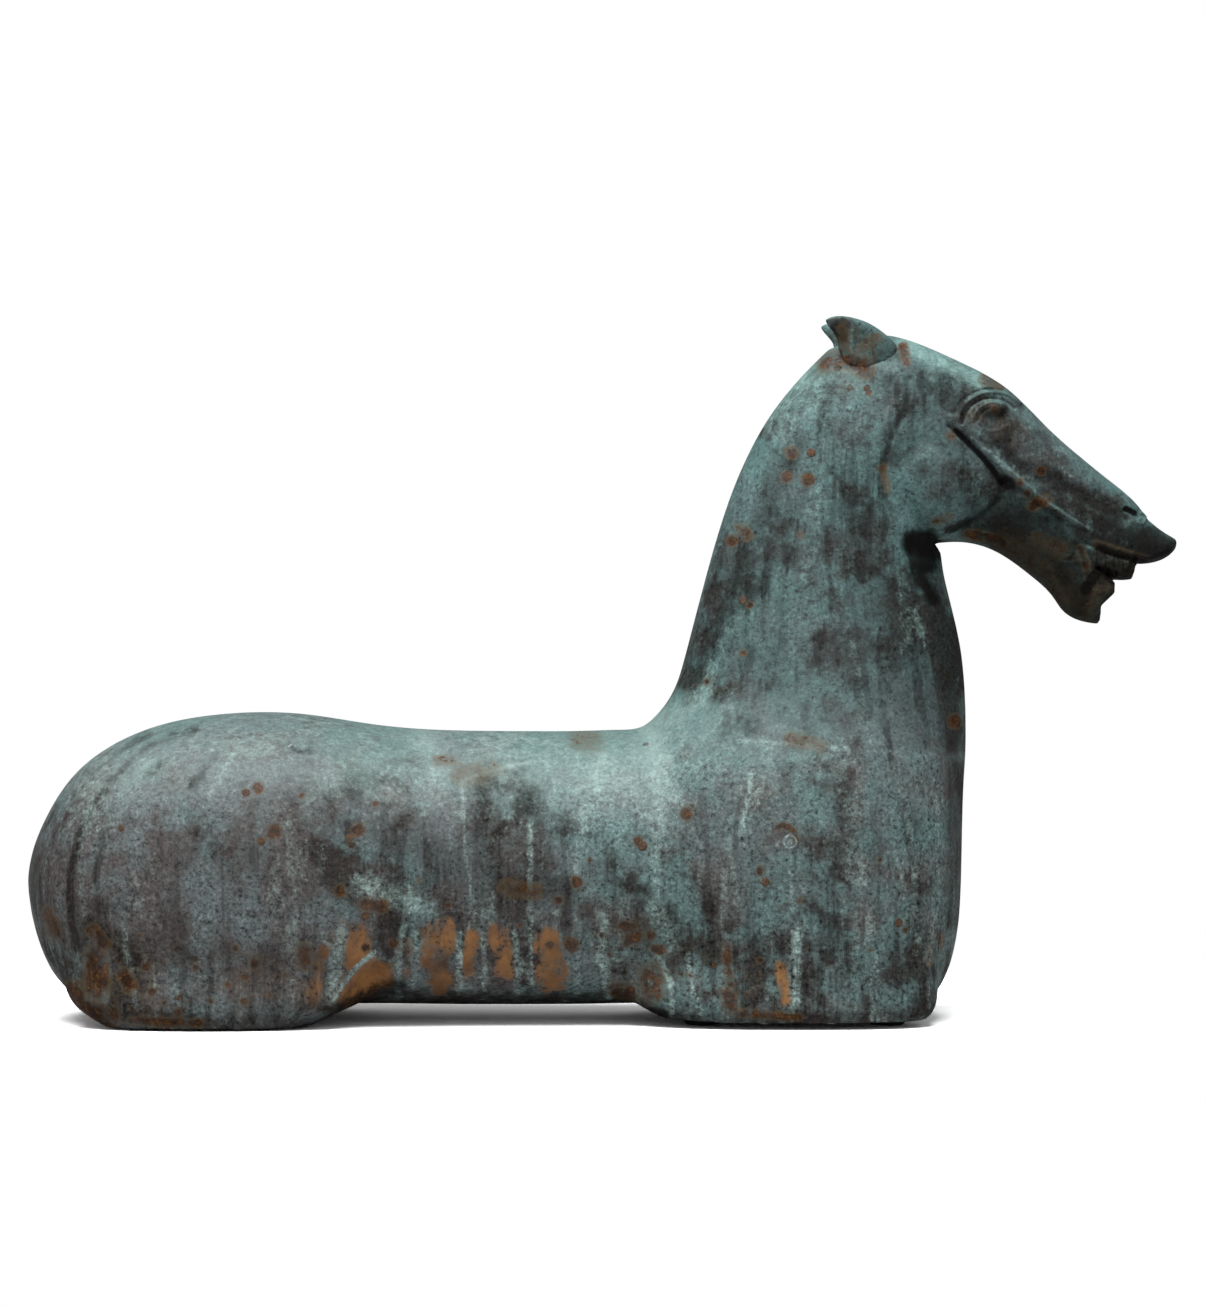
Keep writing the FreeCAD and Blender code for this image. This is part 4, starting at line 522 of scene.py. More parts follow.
def read_rows(values: bpy.types.bpy_prop_collection, name: str) -> np.ndarray:
    """A vector for each element of a mesh, one row each.

    Args:
        values: the mesh's elements.
        name: their property.

    Returns:
        Three columns.
    """
    flat = np.empty(len(values) * 3, np.float32)
    values.foreach_get(name, flat)
    return flat.reshape(-1, 3).astype(float)


def points_of(piece: Object) -> np.ndarray:
    """The places of a mesh's points, one row each."""
    return read_rows(piece.data.vertices, "co")


def normals_of(piece: Object) -> np.ndarray:
    """The outward directions at a mesh's points, one row each."""
    return read_rows(piece.data.vertex_normals, "vector")


def move_points(piece: Object, points: np.ndarray) -> None:
    """Puts a mesh's points in new places."""
    piece.data.vertices.foreach_set("co", points.astype(np.float32).ravel())
    piece.data.update()


def layer_of(piece: Object, name: str) -> np.ndarray:
    """The values of a painted layer, one for each point."""
    values = np.empty(len(piece.data.vertices), np.float32)
    piece.data.attributes[name].data.foreach_get("value", values)
    return values


def paint_layer(piece: Object, name: str, values: np.ndarray) -> None:
    """Adds a painted layer with one value for each point."""
    layer = piece.data.attributes.new(name, "FLOAT", "POINT")
    layer.data.foreach_set("value", values.astype(np.float32))


def skin_tree(piece: Object, left_out: np.ndarray) -> BVHTree:
    """A search tree of a piece's faces, without those that touch a point that is left out."""
    points = [point.co for point in piece.data.vertices]
    faces = [tuple(face.vertices) for face in piece.data.polygons]
    return BVHTree.FromPolygons(points, [face for face in faces if not any(left_out[list(face)])])


# Materials


def linear(colour: Triple) -> tuple[float, ...]:
    """An sRGB colour, each share from 0 to 255, as the shader takes it."""
    shares = [value / 255 for value in colour]
    return tuple(
        share / 12.92 if share <= 0.04045 else ((share + 0.055) / 1.055) ** 2.4 for share in shares
    ) + (1.0,)


class Shader:
    """A node tree that is written as formulas."""

    def __init__(self, owner: bpy.types.ID, ending: str) -> None:
        """Empties the tree of a material or a world.

        Args:
            owner: the material or world.
            ending: the type of the tree's last node.
        """
        owner.use_nodes = True
        self.owner, self.tree = owner, owner.node_tree
        self.tree.nodes.clear()
        self.output = self.tree.nodes.new(ending)

    @classmethod
    def of_material(cls, name: str) -> "Shader":
        """Starts a new material."""
        return cls(bpy.data.materials.new(name), "ShaderNodeOutputMaterial")

    def feed(self, value: object, socket: NodeSocket) -> None:
        """Links a socket to an input, or sets the input to a value.

        Args:
            value: the value or socket.
            socket: the input.
        """
        if isinstance(value, NodeSocket):
            self.tree.links.new(value, socket)
        else:
            socket.default_value = value

    def node(self, kind: str, inputs: dict | None = None, **settings: object) -> bpy.types.Node:
        """Adds a node, sets its properties and feeds its inputs.

        Args:
            kind: the node's type.
            inputs: values or sockets by input name or number.
            settings: the node's own properties.

        Returns:
            The node.
        """
        made = self.tree.nodes.new(kind)
        for key, value in settings.items():
            setattr(made, key, value)
        for key, value in (inputs or {}).items():
            self.feed(value, made.inputs[key])
        return made

    def end(self, kind: str, inputs: dict) -> bpy.types.ID:
        """Ends the tree in one shader node and gives back the material or world."""
        made = self.node(kind, inputs)
        self.tree.links.new(made.outputs[0], self.output.inputs["Surface"])
        return self.owner

    def place(self, scale: Triple = (1, 1, 1)) -> NodeSocket:
        """Object coordinates in metres, stretched by scale."""
        where = self.node("ShaderNodeTexCoord").outputs["Object"]
        return self.node("ShaderNodeMapping", {"Vector": where, "Scale": scale}).outputs["Vector"]

    def axes(self, vector: NodeSocket) -> bpy.types.bpy_prop_collection:
        """A vector's X, Y and Z."""
        return self.node("ShaderNodeSeparateXYZ", {0: vector}).outputs

    def clouds(self, size: float, detail: float = 4.0, rough: float = 0.6, spread: float = 0.16,
               twist: float = 0.0, stretch: Triple = (1, 1, 1)) -> NodeSocket:
        """Soft noise from 0 to 1.

        Args:
            size: millimetres across a cloud.
            detail: how many finer layers it has.
            rough: how strong they are.
            spread: half the range of raw noise that is stretched to 0 to 1.
            twist: how far the noise distorts itself.
            stretch: shares of the scale along each axis.

        Returns:
            The value's socket.
        """
        raw = self.node(
            "ShaderNodeTexNoise",
            {"Vector": self.place(stretch), "Scale": 1 / (size * MM), "Detail": detail,
             "Roughness": rough, "Distortion": twist},
        ).outputs["Fac"]
        return self.span(raw, 0.5 - spread, 0.5 + spread)

    def span(self, value: object, low: float, high: float, start: float = 0.0,
             end: float = 1.0) -> NodeSocket:
        """A value from low to high, laid out from start to end and held there."""
        return self.node(
            "ShaderNodeMapRange",
            {"Value": value, "From Min": low, "From Max": high, "To Min": start, "To Max": end},
            interpolation_type="SMOOTHSTEP",
        ).outputs["Result"]

    def math(self, operation: str, *values: object) -> NodeSocket:
        """One step of arithmetic on some values."""
        return self.node("ShaderNodeMath", dict(enumerate(values)), operation=operation).outputs[0]

    def times(self, first: object, second: object) -> NodeSocket:
        """Two values multiplied."""
        return self.math("MULTIPLY", first, second)

    def total(self, start: float, *terms: tuple[object, float]) -> NodeSocket:
        """A start value and each term times its weight, added up.

        Args:
            start: the start value.
            terms: pairs of a value and its weight.

        Returns:
            The sum's socket.
        """
        result: object = start
        for value, weight in terms:
            result = self.math("MULTIPLY_ADD", value, weight, result)
        return result

    def layer(self, coat: Coat) -> NodeSocket:
        """How much of a coat is painted on the skin here."""
        return self.node("ShaderNodeAttribute", attribute_name=coat.value).outputs["Fac"]

    def ramp(self, value: object, stops: Stops) -> NodeSocket:
        """Colours along a value, each stop a place and an sRGB colour.

        Args:
            value: where on the ramp.
            stops: the ramp.

        Returns:
            The colour's socket.
        """
        made = self.node("ShaderNodeValToRGB", {"Fac": value})
        elements = made.color_ramp.elements
        while len(elements) < len(stops):
            elements.new(0.5)
        for element, (position, colour) in zip(elements, stops):
            element.position, element.color = position, linear(colour)
        return made.outputs["Color"]

    def mix(self, share: object, first: object, second: object, blend: str = "MIX") -> NodeSocket:
        """Two colours mixed, the second by its share.

        Args:
            share: how much of the second.
            first: a colour.
            second: a colour.
            blend: how they are mixed.

        Returns:
            The colour's socket.
        """
        made = self.node("ShaderNodeMix", data_type="RGBA", blend_type=blend)
        for name, value in (("Factor", share), ("A", first), ("B", second)):
            self.feed(value, next(s for s in made.inputs if s.name == name and s.enabled))
        return next(s for s in made.outputs if s.enabled)

    def bump(self, height: object, depth: float) -> NodeSocket:
        """A fine relief, its depth in millimetres."""
        return self.node(
            "ShaderNodeBump", {"Height": height, "Distance": depth * MM, "Strength": 0.7}
        ).outputs["Normal"]


@dataclass(frozen=True)
class PatinaFinish:
    """Old cast iron under a grey-green crust, with rust spots, pale runs and bare metal, and painted shade,
    shadow and highlights.
    """

    name: str = "grey_green_patina"
    blue: Triple = (87, 97, 98)
    green: Triple = (83, 108, 106)
    plum: Triple = (72, 68, 67)
    # Dark of the patches, and of the painted shade in grooves, under the jaw and down the front of the neck
    # and chest
    dark: Triple = (37, 32, 30)
    # Pale lime, also the colour of the painted highlights on ridges and of the painted top light
    pale: Triple = (143, 166, 161)
    halo: Triple = (98, 86, 64)
    stain: Triple = (56, 44, 34)
    # Black of the painted shadow in the deepest places, and of dark dirt
    black_shade_and_dirt: Triple = (12, 11, 10)
    upper_tint: Triple = (0.72, 0.86, 0.86)
    rust: Stops = ((0.10, (24, 16, 11)), (0.45, (48, 32, 20)), (0.65, (72, 47, 28)), (0.92, (104, 74, 44)))
    copper: Stops = ((0.00, (66, 43, 25)), (0.50, (122, 84, 50)), (1.00, (160, 116, 72)))
    pit_spacing: float = 15.0

    def material(self) -> Material:
        """Builds the crust from clouds, runs and grain, and lays the painted coats over it."""
        s = Shader.of_material(self.name)
        cloud, drift = s.clouds(120, detail=3, twist=0.3), s.clouds(66, detail=4)
        blotch = s.clouds(30, detail=6, rough=0.62, spread=0.2)
        runs = s.clouds(15, detail=5, spread=0.18, stretch=(1, 1, 0.09))
        fleck = s.clouds(9, detail=5, rough=0.7, spread=0.22)
        grain = s.clouds(2.8, detail=3, rough=0.7, spread=0.24)
        chips = s.clouds(4.2, detail=3, rough=0.65, spread=0.5)
        torn = s.clouds(7, detail=4, rough=0.75, spread=0.2)
        light_chips, dark_chips = s.span(chips, 0.59, 0.68), s.span(chips, 0.41, 0.32)
        ragged = s.total(-0.5, (blotch, 0.3), (fleck, 0.4), (grain, 0.3))
        pale, dark, rust, copper, black_shade_and_dirt, pits = (s.layer(coat) for coat in Coat)

        # Where the skin lies and faces
        # Upward faces get paler, less dark and less grainy: pale crust there, and partly painted light from
        # above
        crown_crust_and_top_light = s.span(s.axes(s.node("ShaderNodeNewGeometry").outputs["Normal"])["Z"], 0.05, 0.85)
        where = s.axes(s.place())
        front = s.span(where["X"], -0.32, 0.06)
        high, low = s.span(where["Z"], 0.22, 0.36), s.span(where["Z"], 0.30, 0.04)

        # Crust in blue, green and plum
        hue = s.span(s.total(0.0, (cloud, 0.6), (front, 0.4)), 0.2, 0.8)
        skin = s.mix(hue, linear(self.blue), linear(self.green))
        plum = s.total(-0.04, (drift, 0.60), (blotch, 0.35), (front, -0.24), (crown_crust_and_top_light, -0.3))
        skin = s.mix(s.span(plum, 0.0, 0.65), skin, linear(self.plum))

        # Dark patches and runs, with the painted shade of the dark layer in grooves, under the jaw and down
        # the front of the neck and chest
        murk = s.span(s.total(0.0, (blotch, 0.5), (cloud, 0.5)), 0.5, 0.9)
        run_weight = s.total(0.16, (low, 0.24), (high, 0.10))
        shade = s.total(
            0.06, (dark, 0.85), (murk, 0.5), (s.span(runs, 0.45, 0.05), run_weight), (ragged, 0.55),
            (crown_crust_and_top_light, -0.3), (s.times(s.span(drift, 0.40, 0.85), high), 0.26),
        )
        skin = s.mix(s.span(shade, 0.0, 1.0, 0.0, 0.86), skin, linear(self.dark))

        # Pale lime in runs and painted strokes, some of them painted highlights on the head's ridges, and on
        # upward faces both pale crust and painted top light
        bloom = s.span(s.total(0.0, (drift, 0.6), (fleck, 0.4)), 0.55, 0.85)
        drips = s.times(s.span(runs, 0.58, 0.95), s.total(0.0, (low, 0.30), (high, 0.18)))
        light = s.total(
            -0.10, (pale, 0.60), (crown_crust_and_top_light, 0.40), (bloom, 0.14), (drips, 1.0), (ragged, 0.34),
            (light_chips, 0.06), (high, -0.16),
        )
        skin = s.mix(s.span(light, 0.0, 1.0, 0.0, 0.92), skin, linear(self.pale))

        # Grain, weaker where the crust is smooth
        quiet = s.total(0.0, (s.span(crown_crust_and_top_light, 0.0, 1.0, 1.0, 0.3), 1.0), (high, 0.05), (low, 0.30))
        gain = s.total(0.0, (grain, 0.95), (fleck, 0.50), (blotch, 0.20), (light_chips, 0.40),
                       (dark_chips, -0.40))
        gain = s.total(1.0, (s.times(s.math("SUBTRACT", gain, 0.825), quiet), 1.0))
        grey = s.node("ShaderNodeCombineColor", dict.fromkeys(range(3), gain)).outputs[0]
        skin = s.mix(1.0, skin, grey, "MULTIPLY")
        skin = s.mix(high, skin, (*self.upper_tint, 1.0), "MULTIPLY")

        # Bare metal
        metal = s.total(-0.42, (copper, 1.1), (runs, 1.0), (ragged, 0.5), (dark_chips, -0.3))
        bare = s.times(s.span(metal, 0.10, 1.1), s.span(copper, 0.02, 0.4))
        bare = s.times(bare, s.span(pale, 0.25, 0.6, 1.0, 0.1))
        skin = s.mix(bare, skin, s.ramp(s.total(0.0, (cloud, 0.4), (blotch, 0.6)), self.copper))

        # Rust spots and pits, each in an earthy stain
        cells = s.node(
            "ShaderNodeTexVoronoi",
            {"Vector": s.place(), "Scale": 1 / (self.pit_spacing * MM), "Randomness": 1.0},
        ).outputs
        tint = s.node("ShaderNodeSeparateColor", {0: cells["Color"]}).outputs[0]
        near = s.span(s.total(0.0, (cells["Distance"], 1.0), (ragged, 0.16)), 0.26, 0.16)
        pitted = s.times(s.times(s.span(tint, 0.62, 0.70), near), s.span(pits, 0.1, 0.7))
        earth = s.total(0.0, (rust, 1.0), (pits, 0.22), (ragged, 0.5))
        skin = s.mix(s.span(earth, 0.05, 0.5, 0.0, 0.5), skin, linear(self.stain))
        ring = s.times(s.span(earth, 0.10, 0.35), s.span(earth, 0.65, 0.40))
        skin = s.mix(s.times(ring, 0.3), skin, linear(self.halo))
        rusty = s.span(s.total(-0.43, (rust, 1.3), (ragged, 1.0), (torn, 0.7)), 0.52, 0.80)
        rusty = s.math("MAXIMUM", rusty, pitted)
        skin = s.mix(rusty, skin, s.ramp(s.total(0.0, (fleck, 0.5), (grain, 0.5)), self.rust))

        # Black painted shadow and dirt in the deepest places: behind and under the jaw, under the hip, in
        # the mouth, nostril and eye
        black = s.span(s.total(0.0, (black_shade_and_dirt, 1.0), (ragged, 0.5)), 0.10, 0.75)
        skin = s.mix(s.times(black, 0.95), skin, linear(self.black_shade_and_dirt))
        height = s.total(
            0.0, (blotch, 0.35), (fleck, 0.4), (grain, 0.25), (light_chips, 0.12), (dark_chips, -0.2),
            (pitted, -0.9), (rusty, -0.2),
        )
        return s.end("ShaderNodeBsdfPrincipled", {
            "Base Color": skin,
            "Roughness": s.span(s.total(0.0, (blotch, 0.5), (fleck, 0.5)), 0.0, 1.0, 0.48, 0.74),
            "Metallic": s.times(bare, 0.25),
            "Specular IOR Level": s.span(s.total(0.0, (shade, 0.9), (black, 1.0)), 0.1, 1.0, 0.42, 0.06),
            "Normal": s.bump(height, 0.7),
        })


@dataclass(frozen=True)
class CrustFinish:
    """A small iron piece under one kind of crust."""

    name: str
    stops: Stops
    size: float
    roughness: float
    metallic: float = 0.0
    depth: float = 0.25

    def material(self) -> Material:
        """Builds a mottled, slightly rough surface."""
        s = Shader.of_material(self.name)
        mottle = s.clouds(self.size, detail=5, rough=0.7, spread=0.2)
        grain = s.clouds(self.size * 0.2, detail=3, spread=0.2)
        tone = s.total(0.0, (mottle, 0.65), (grain, 0.35))
        return s.end("ShaderNodeBsdfPrincipled", {
            "Base Color": s.ramp(tone, self.stops),
            "Roughness": s.span(mottle, 0.0, 1.0, self.roughness - 0.1, self.roughness + 0.1),
            "Metallic": self.metallic,
            "Normal": s.bump(tone, self.depth),
        })


RUSTED_IRON = CrustFinish(
    "rusted_chaplet_iron", ((0.1, (34, 25, 18)), (0.5, (68, 46, 30)), (0.9, (104, 74, 48))),
    size=3.0, roughness=0.8,
)
PLUG_IRON = CrustFinish(
    "worn_plug_iron", ((0.1, (54, 56, 58)), (0.5, (104, 116, 116)), (0.9, (160, 176, 172))),
    size=3.0, roughness=0.5,
)
FASTENER_STEEL = CrustFinish(
    "dull_zinc_steel", ((0.1, (108, 106, 100)), (0.5, (140, 139, 134)), (0.9, (170, 170, 166))),
    size=2.5, roughness=0.4, metallic=0.9, depth=0.05,
)
COVER_STEEL = CrustFinish(
    "black_painted_plate", ((0.1, (22, 22, 23)), (0.6, (36, 36, 38)), (0.95, (62, 54, 48))),
    size=9.0, roughness=0.55, depth=0.1,
)
PAD_RUBBER = CrustFinish(
    "matt_black_rubber", ((0.1, (14, 14, 15)), (0.6, (26, 26, 27)), (0.95, (46, 46, 46))),
    size=6.0, roughness=0.85, depth=0.1,
)


# Castings


@dataclass(frozen=True)
class Seam:
    """The plane in which two castings meet."""

    point: Vector
    ahead: Vector

    @classmethod
    def at_end_of(cls, node: str, way: Triple, square: float = 0.98) -> "Seam":
        """Finds a casting's flat end, the largest face at its far end that looks the given way.

        Args:
            node: the CAD node.
            way: the direction that the end looks in.
            square: cosine of the angle by which a face may look another way.

        Returns:
            The seam, with ahead pointing out of that end.
        """
        facing = Vector(way).normalized()
        faces = [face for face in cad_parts[node].data.polygons if face.normal.dot(facing) > square]
        reach = max(face.center.dot(facing) for face in faces) - MM
        flat = max((face for face in faces if face.center.dot(facing) > reach), key=lambda face: face.area)
        return cls(flat.center.copy(), flat.normal.copy())

    def cut(self, piece: Object, keep_ahead: bool) -> None:
        """Cuts a closed piece in this plane, drops one side and closes the other.

        Args:
            piece: the mesh object.
            keep_ahead: whether the side ahead of the plane stays.
        """
        select_only(piece)
        with editing("SELECT"):
            bpy.ops.mesh.bisect(
                plane_co=self.point, plane_no=self.ahead, use_fill=True, clear_inner=keep_ahead,
                clear_outer=not keep_ahead, threshold=HAIR,
            )


ALL_ROUND = tuple(Vector(way).normalized() for way in itertools.product((-1, 0, 1), repeat=3) if any(way))


@dataclass
class CastSkin:
    """The joined skin of some castings, remeshed, smoothed, sculpted, stained and given painted shade and
    highlights.

    The voxel and the roughness are in millimetres, other lengths in metres, and fades in stroke widths.
    """

    nodes: tuple[str, ...]
    voxel: float
    blend_passes: int
    roughness: float
    shrink: float = 1.0
    clear_of_skin: float = 0.0005
    wall: float = 0.004
    extra_wall: float = 0.004
    sideways: float = 0.2
    loopholes: int = 1
    melting: int = 30
    evening: int = 8
    levels: int = 10
    soles: tuple[float, float] = (0.003, 0.016)
    flanks: tuple[float, float] = (0.02, 0.30)
    lumps: float = 55.0
    lump_octaves: tuple[float, float, int] = (0.8, 2.2, 3)
    crag_scale: float = 2.3
    crease_fade: tuple[float, float] = (0.25, 1.0)
    crag_fade: tuple[float, float] = (0.4, 1.0)
    # Painted shade in the grooves: how it fades, its base share, its share per millimetre of depth and its
    # most
    stain_fade: tuple[float, float] = (0.2, 1.8)
    groove_shade_fade: tuple[float, float] = (0.2, 1.0)
    groove_shade_base: float = 0.4
    groove_shade_per_mm: float = 0.2
    groove_shade_most: float = 0.8
    crag_calm: float = 0.6
    hollow_mark: str = "hollow"
    blend_mark: str = "blended"

    def solid(self) -> Object:
        """Joins copies of the castings and gives them one even mesh."""
        copies = [copy_node(node, f"{node}_copy") for node in self.nodes]
        select_only(*copies)
        if len(copies) > 1:
            bpy.ops.object.join()
        skin = copies[0]
        self.find_hollow(skin)
        self.thicken(skin)
        apply_modifier(skin, "REMESH", mode="VOXEL", voxel_size=self.voxel * MM, use_smooth_shade=True)
        return skin

    def thicken(self, skin: Object) -> None:
        """Moves the hollow's walls inwards, so that the remesh leaves no hole where they are thin."""
        inner = self.hollow(skin)[:, None]
        move_points(skin, points_of(skin) + normals_of(skin) * inner * self.extra_wall)
        skin.data.attributes.remove(skin.data.attributes[self.hollow_mark])

    def blend(self, skin: Object) -> None:
        """Melts the creases where chest, barrel and leg stubs run into each other.

        Args:
            skin: the joined skin.
        """
        before, normals = points_of(skin), normals_of(skin)
        flat = VIEW.flatten(before)
        weights = np.zeros(len(flat))
        for crease in CREASES:
            weights = np.maximum(weights, crease.amount * crease.cover(flat, *self.crease_fade))
        weights *= ease(before[:, 2], *self.soles)
        paint_layer(skin, self.blend_mark, weights)
        weights *= ~self.hollow(skin)
        group = skin.vertex_groups.new(name="blend")
        for level in range(1, self.levels + 1):
            chosen = np.flatnonzero(np.round(weights * self.levels) == level)
            group.add([int(index) for index in chosen], level / self.levels, "REPLACE")
        for _ in range(self.blend_passes):
            self.smooth(skin, self.melting)
        moved = points_of(skin) - before
        filled = np.einsum("ij,ij->i", moved, normals) > 0
        move_points(skin, before + moved * np.where(filled, 1.0, self.shrink)[:, None])
        self.smooth(skin, self.evening)
        skin.vertex_groups.clear()

    def smooth(self, skin: Object, iterations: int) -> None:
        """Smooths the skin where its blend group says so."""
        apply_modifier(skin, "SMOOTH", factor=0.5, iterations=iterations, vertex_group="blend")

    def find_hollow(self, skin: Object) -> None:
        """Marks the points that no one can see, which lie on the walls of the hollow."""
        walls = skin_tree(skin, np.zeros(len(skin.data.vertices), bool))
        hidden = [self.shut_in(walls, point) for point in skin.data.vertices]
        paint_layer(skin, self.hollow_mark, np.array(hidden))

    def shut_in(self, walls: BVHTree, point: bpy.types.MeshVertex) -> bool:
        """Whether iron lies in nearly every direction that a point of the skin faces.

        Args:
            walls: the search tree of the whole skin.
            point: the point.

        Returns:
            True for a point on the wall of the hollow.
        """
        start = point.co + point.normal * self.clear_of_skin
        aside = Vector((0, math.copysign(1, point.co.y), 0))
        if any(walls.ray_cast(start, way)[0] is None for way in (aside, point.normal)):
            return False
        ahead = (way for way in ALL_ROUND if way.dot(point.normal) > self.sideways)
        return sum(walls.ray_cast(start, way)[0] is None for way in ahead) <= self.loopholes

    def hollow(self, skin: Object) -> np.ndarray:
        """Which points lie on the walls of the hollow."""
        return layer_of(skin, self.hollow_mark) > 0.5

    def keep_walls(self, skin: Object) -> None:
        """Moves the hollow's walls inwards where the blended skin has come too near to them.

        Args:
            skin: the joined skin.
        """
        points, inner = points_of(skin), self.hollow(skin)
        outside = skin_tree(skin, inner)
        for index in np.flatnonzero(inner & (layer_of(skin, self.blend_mark) > 0)):
            spot, away, _, _ = outside.find_nearest(Vector(points[index]))
            if spot is not None and (spot - Vector(points[index])).dot(away) < self.wall:
                points[index] = spot - away * self.wall
        move_points(skin, points)

    def sculpt(self, skin: Object) -> None:
        """Presses the folds, lids, lips and grooves into both sides.

        Args:
            skin: the joined skin.
        """
        points, normals = points_of(skin), normals_of(skin)
        flat = VIEW.flatten(points)
        offset = np.zeros(len(points))
        for relief in RELIEFS:
            across = np.clip(relief.distance(flat, 1.0), 0.0, 1.0)
            offset += relief.amount * (1 - across**2) ** 2
        uneven, broken = self.crust(points), self.crust(points * self.crag_scale)
        for crag in CRAGS:
            share = crag.cover(flat, *self.crag_fade)
            offset += crag.amount * share * (broken - self.crag_calm * np.abs(uneven))
        offset += self.roughness * uneven
        outward = ease(normals[:, 1] * np.sign(points[:, 1]), *self.flanks)
        points += normals * (offset * outward * MM)[:, None]
        move_points(skin, np.clip(points, CAD_BOX[0], CAD_BOX[1]))

    def crust(self, points: np.ndarray) -> np.ndarray:
        """Uneven cast surface, from about -1 to 1, as a hand-made mould leaves it."""
        return np.array([
            noise.fractal(Vector(point) * self.lumps, *self.lump_octaves, noise_basis="PERLIN_ORIGINAL")
            for point in points
        ])

    def stain(self, skin: Object) -> None:
        """Paints every coat as a layer on the skin, painted shade and highlights among them.

        Args:
            skin: the joined skin.
        """
        points = points_of(skin)
        fixed, loose = VIEW.flatten(points), VIEW.stain_places(points)
        for coat, marks in STAINS_AND_PAINTED_LIGHT.items():
            places = fixed if coat in SAME_ON_BOTH_SIDES else loose
            # The dark layer starts from the painted shade in the grooves
            amount = self.groove_shade(fixed) if coat is Coat.DARK else np.zeros(len(points))
            for mark in marks:
                amount = np.maximum(amount, mark.amount * mark.cover(places, *self.stain_fade))
            paint_layer(skin, coat.value, amount)

    def groove_shade(self, flat: np.ndarray) -> np.ndarray:
        """How much painted shade lies in the grooves, from 0 to 1, more in deeper grooves.

        Args:
            flat: places along and up, in millimetres.

        Returns:
            One amount for each place.
        """
        amount = np.zeros(len(flat))
        for groove in (relief for relief in RELIEFS if relief.amount < 0):
            depth = min(self.groove_shade_most, self.groove_shade_base - self.groove_shade_per_mm * groove.amount)
            amount = np.maximum(amount, depth * groove.cover(flat, *self.groove_shade_fade))
        return amount

    def build(self) -> Object:
        """Runs every step and gives back the joined skin, ready to be cut apart."""
        skin = self.solid()
        self.find_hollow(skin)
        if self.blend_passes:
            self.blend(skin)
            self.keep_walls(skin)
        self.sculpt(skin)
        self.stain(skin)
        LOG.info("skin of %s: %d points", self.nodes[0], len(skin.data.vertices))
        return skin


@dataclass(frozen=True)
class Casting:
    """One casting, cut out of a joined skin, or an ear, which has a skin of its own."""

    node: str
    name: str
    cuts: tuple[tuple[Seam, bool], ...] = ()
    inside_share: float = 0.05
    crease: float = 50.0

    def build(self, skin: Object, patina: Material) -> None:
        """Cuts the casting out, thins the mesh in its hollow and dresses it.

        Args:
            skin: the joined skin.
            patina: its material.
        """
        piece = add_object(self.name, skin.data.copy())
        for seam, keep_ahead in self.cuts:
            seam.cut(piece, keep_ahead)
        if self.cuts:
            self.thin_hollow(piece)
        finish_piece(piece, self.name, self.node, patina, self.crease)

    def thin_hollow(self, piece: Object) -> None:
        """Leaves fewer faces where nobody looks, on the walls of the hollow.

        Args:
            piece: the casting's object.
        """
        select_only(piece)
        select_parts(piece, "vertices", layer_of(piece, CastSkin.hollow_mark) > 0.5)
        with editing():
            bpy.ops.mesh.select_mode(type="VERT")
            bpy.ops.mesh.decimate(ratio=self.inside_share)
            bpy.ops.mesh.select_all(action="SELECT")
            bpy.ops.mesh.normals_make_consistent(inside=False)


# Pin heads and hardware


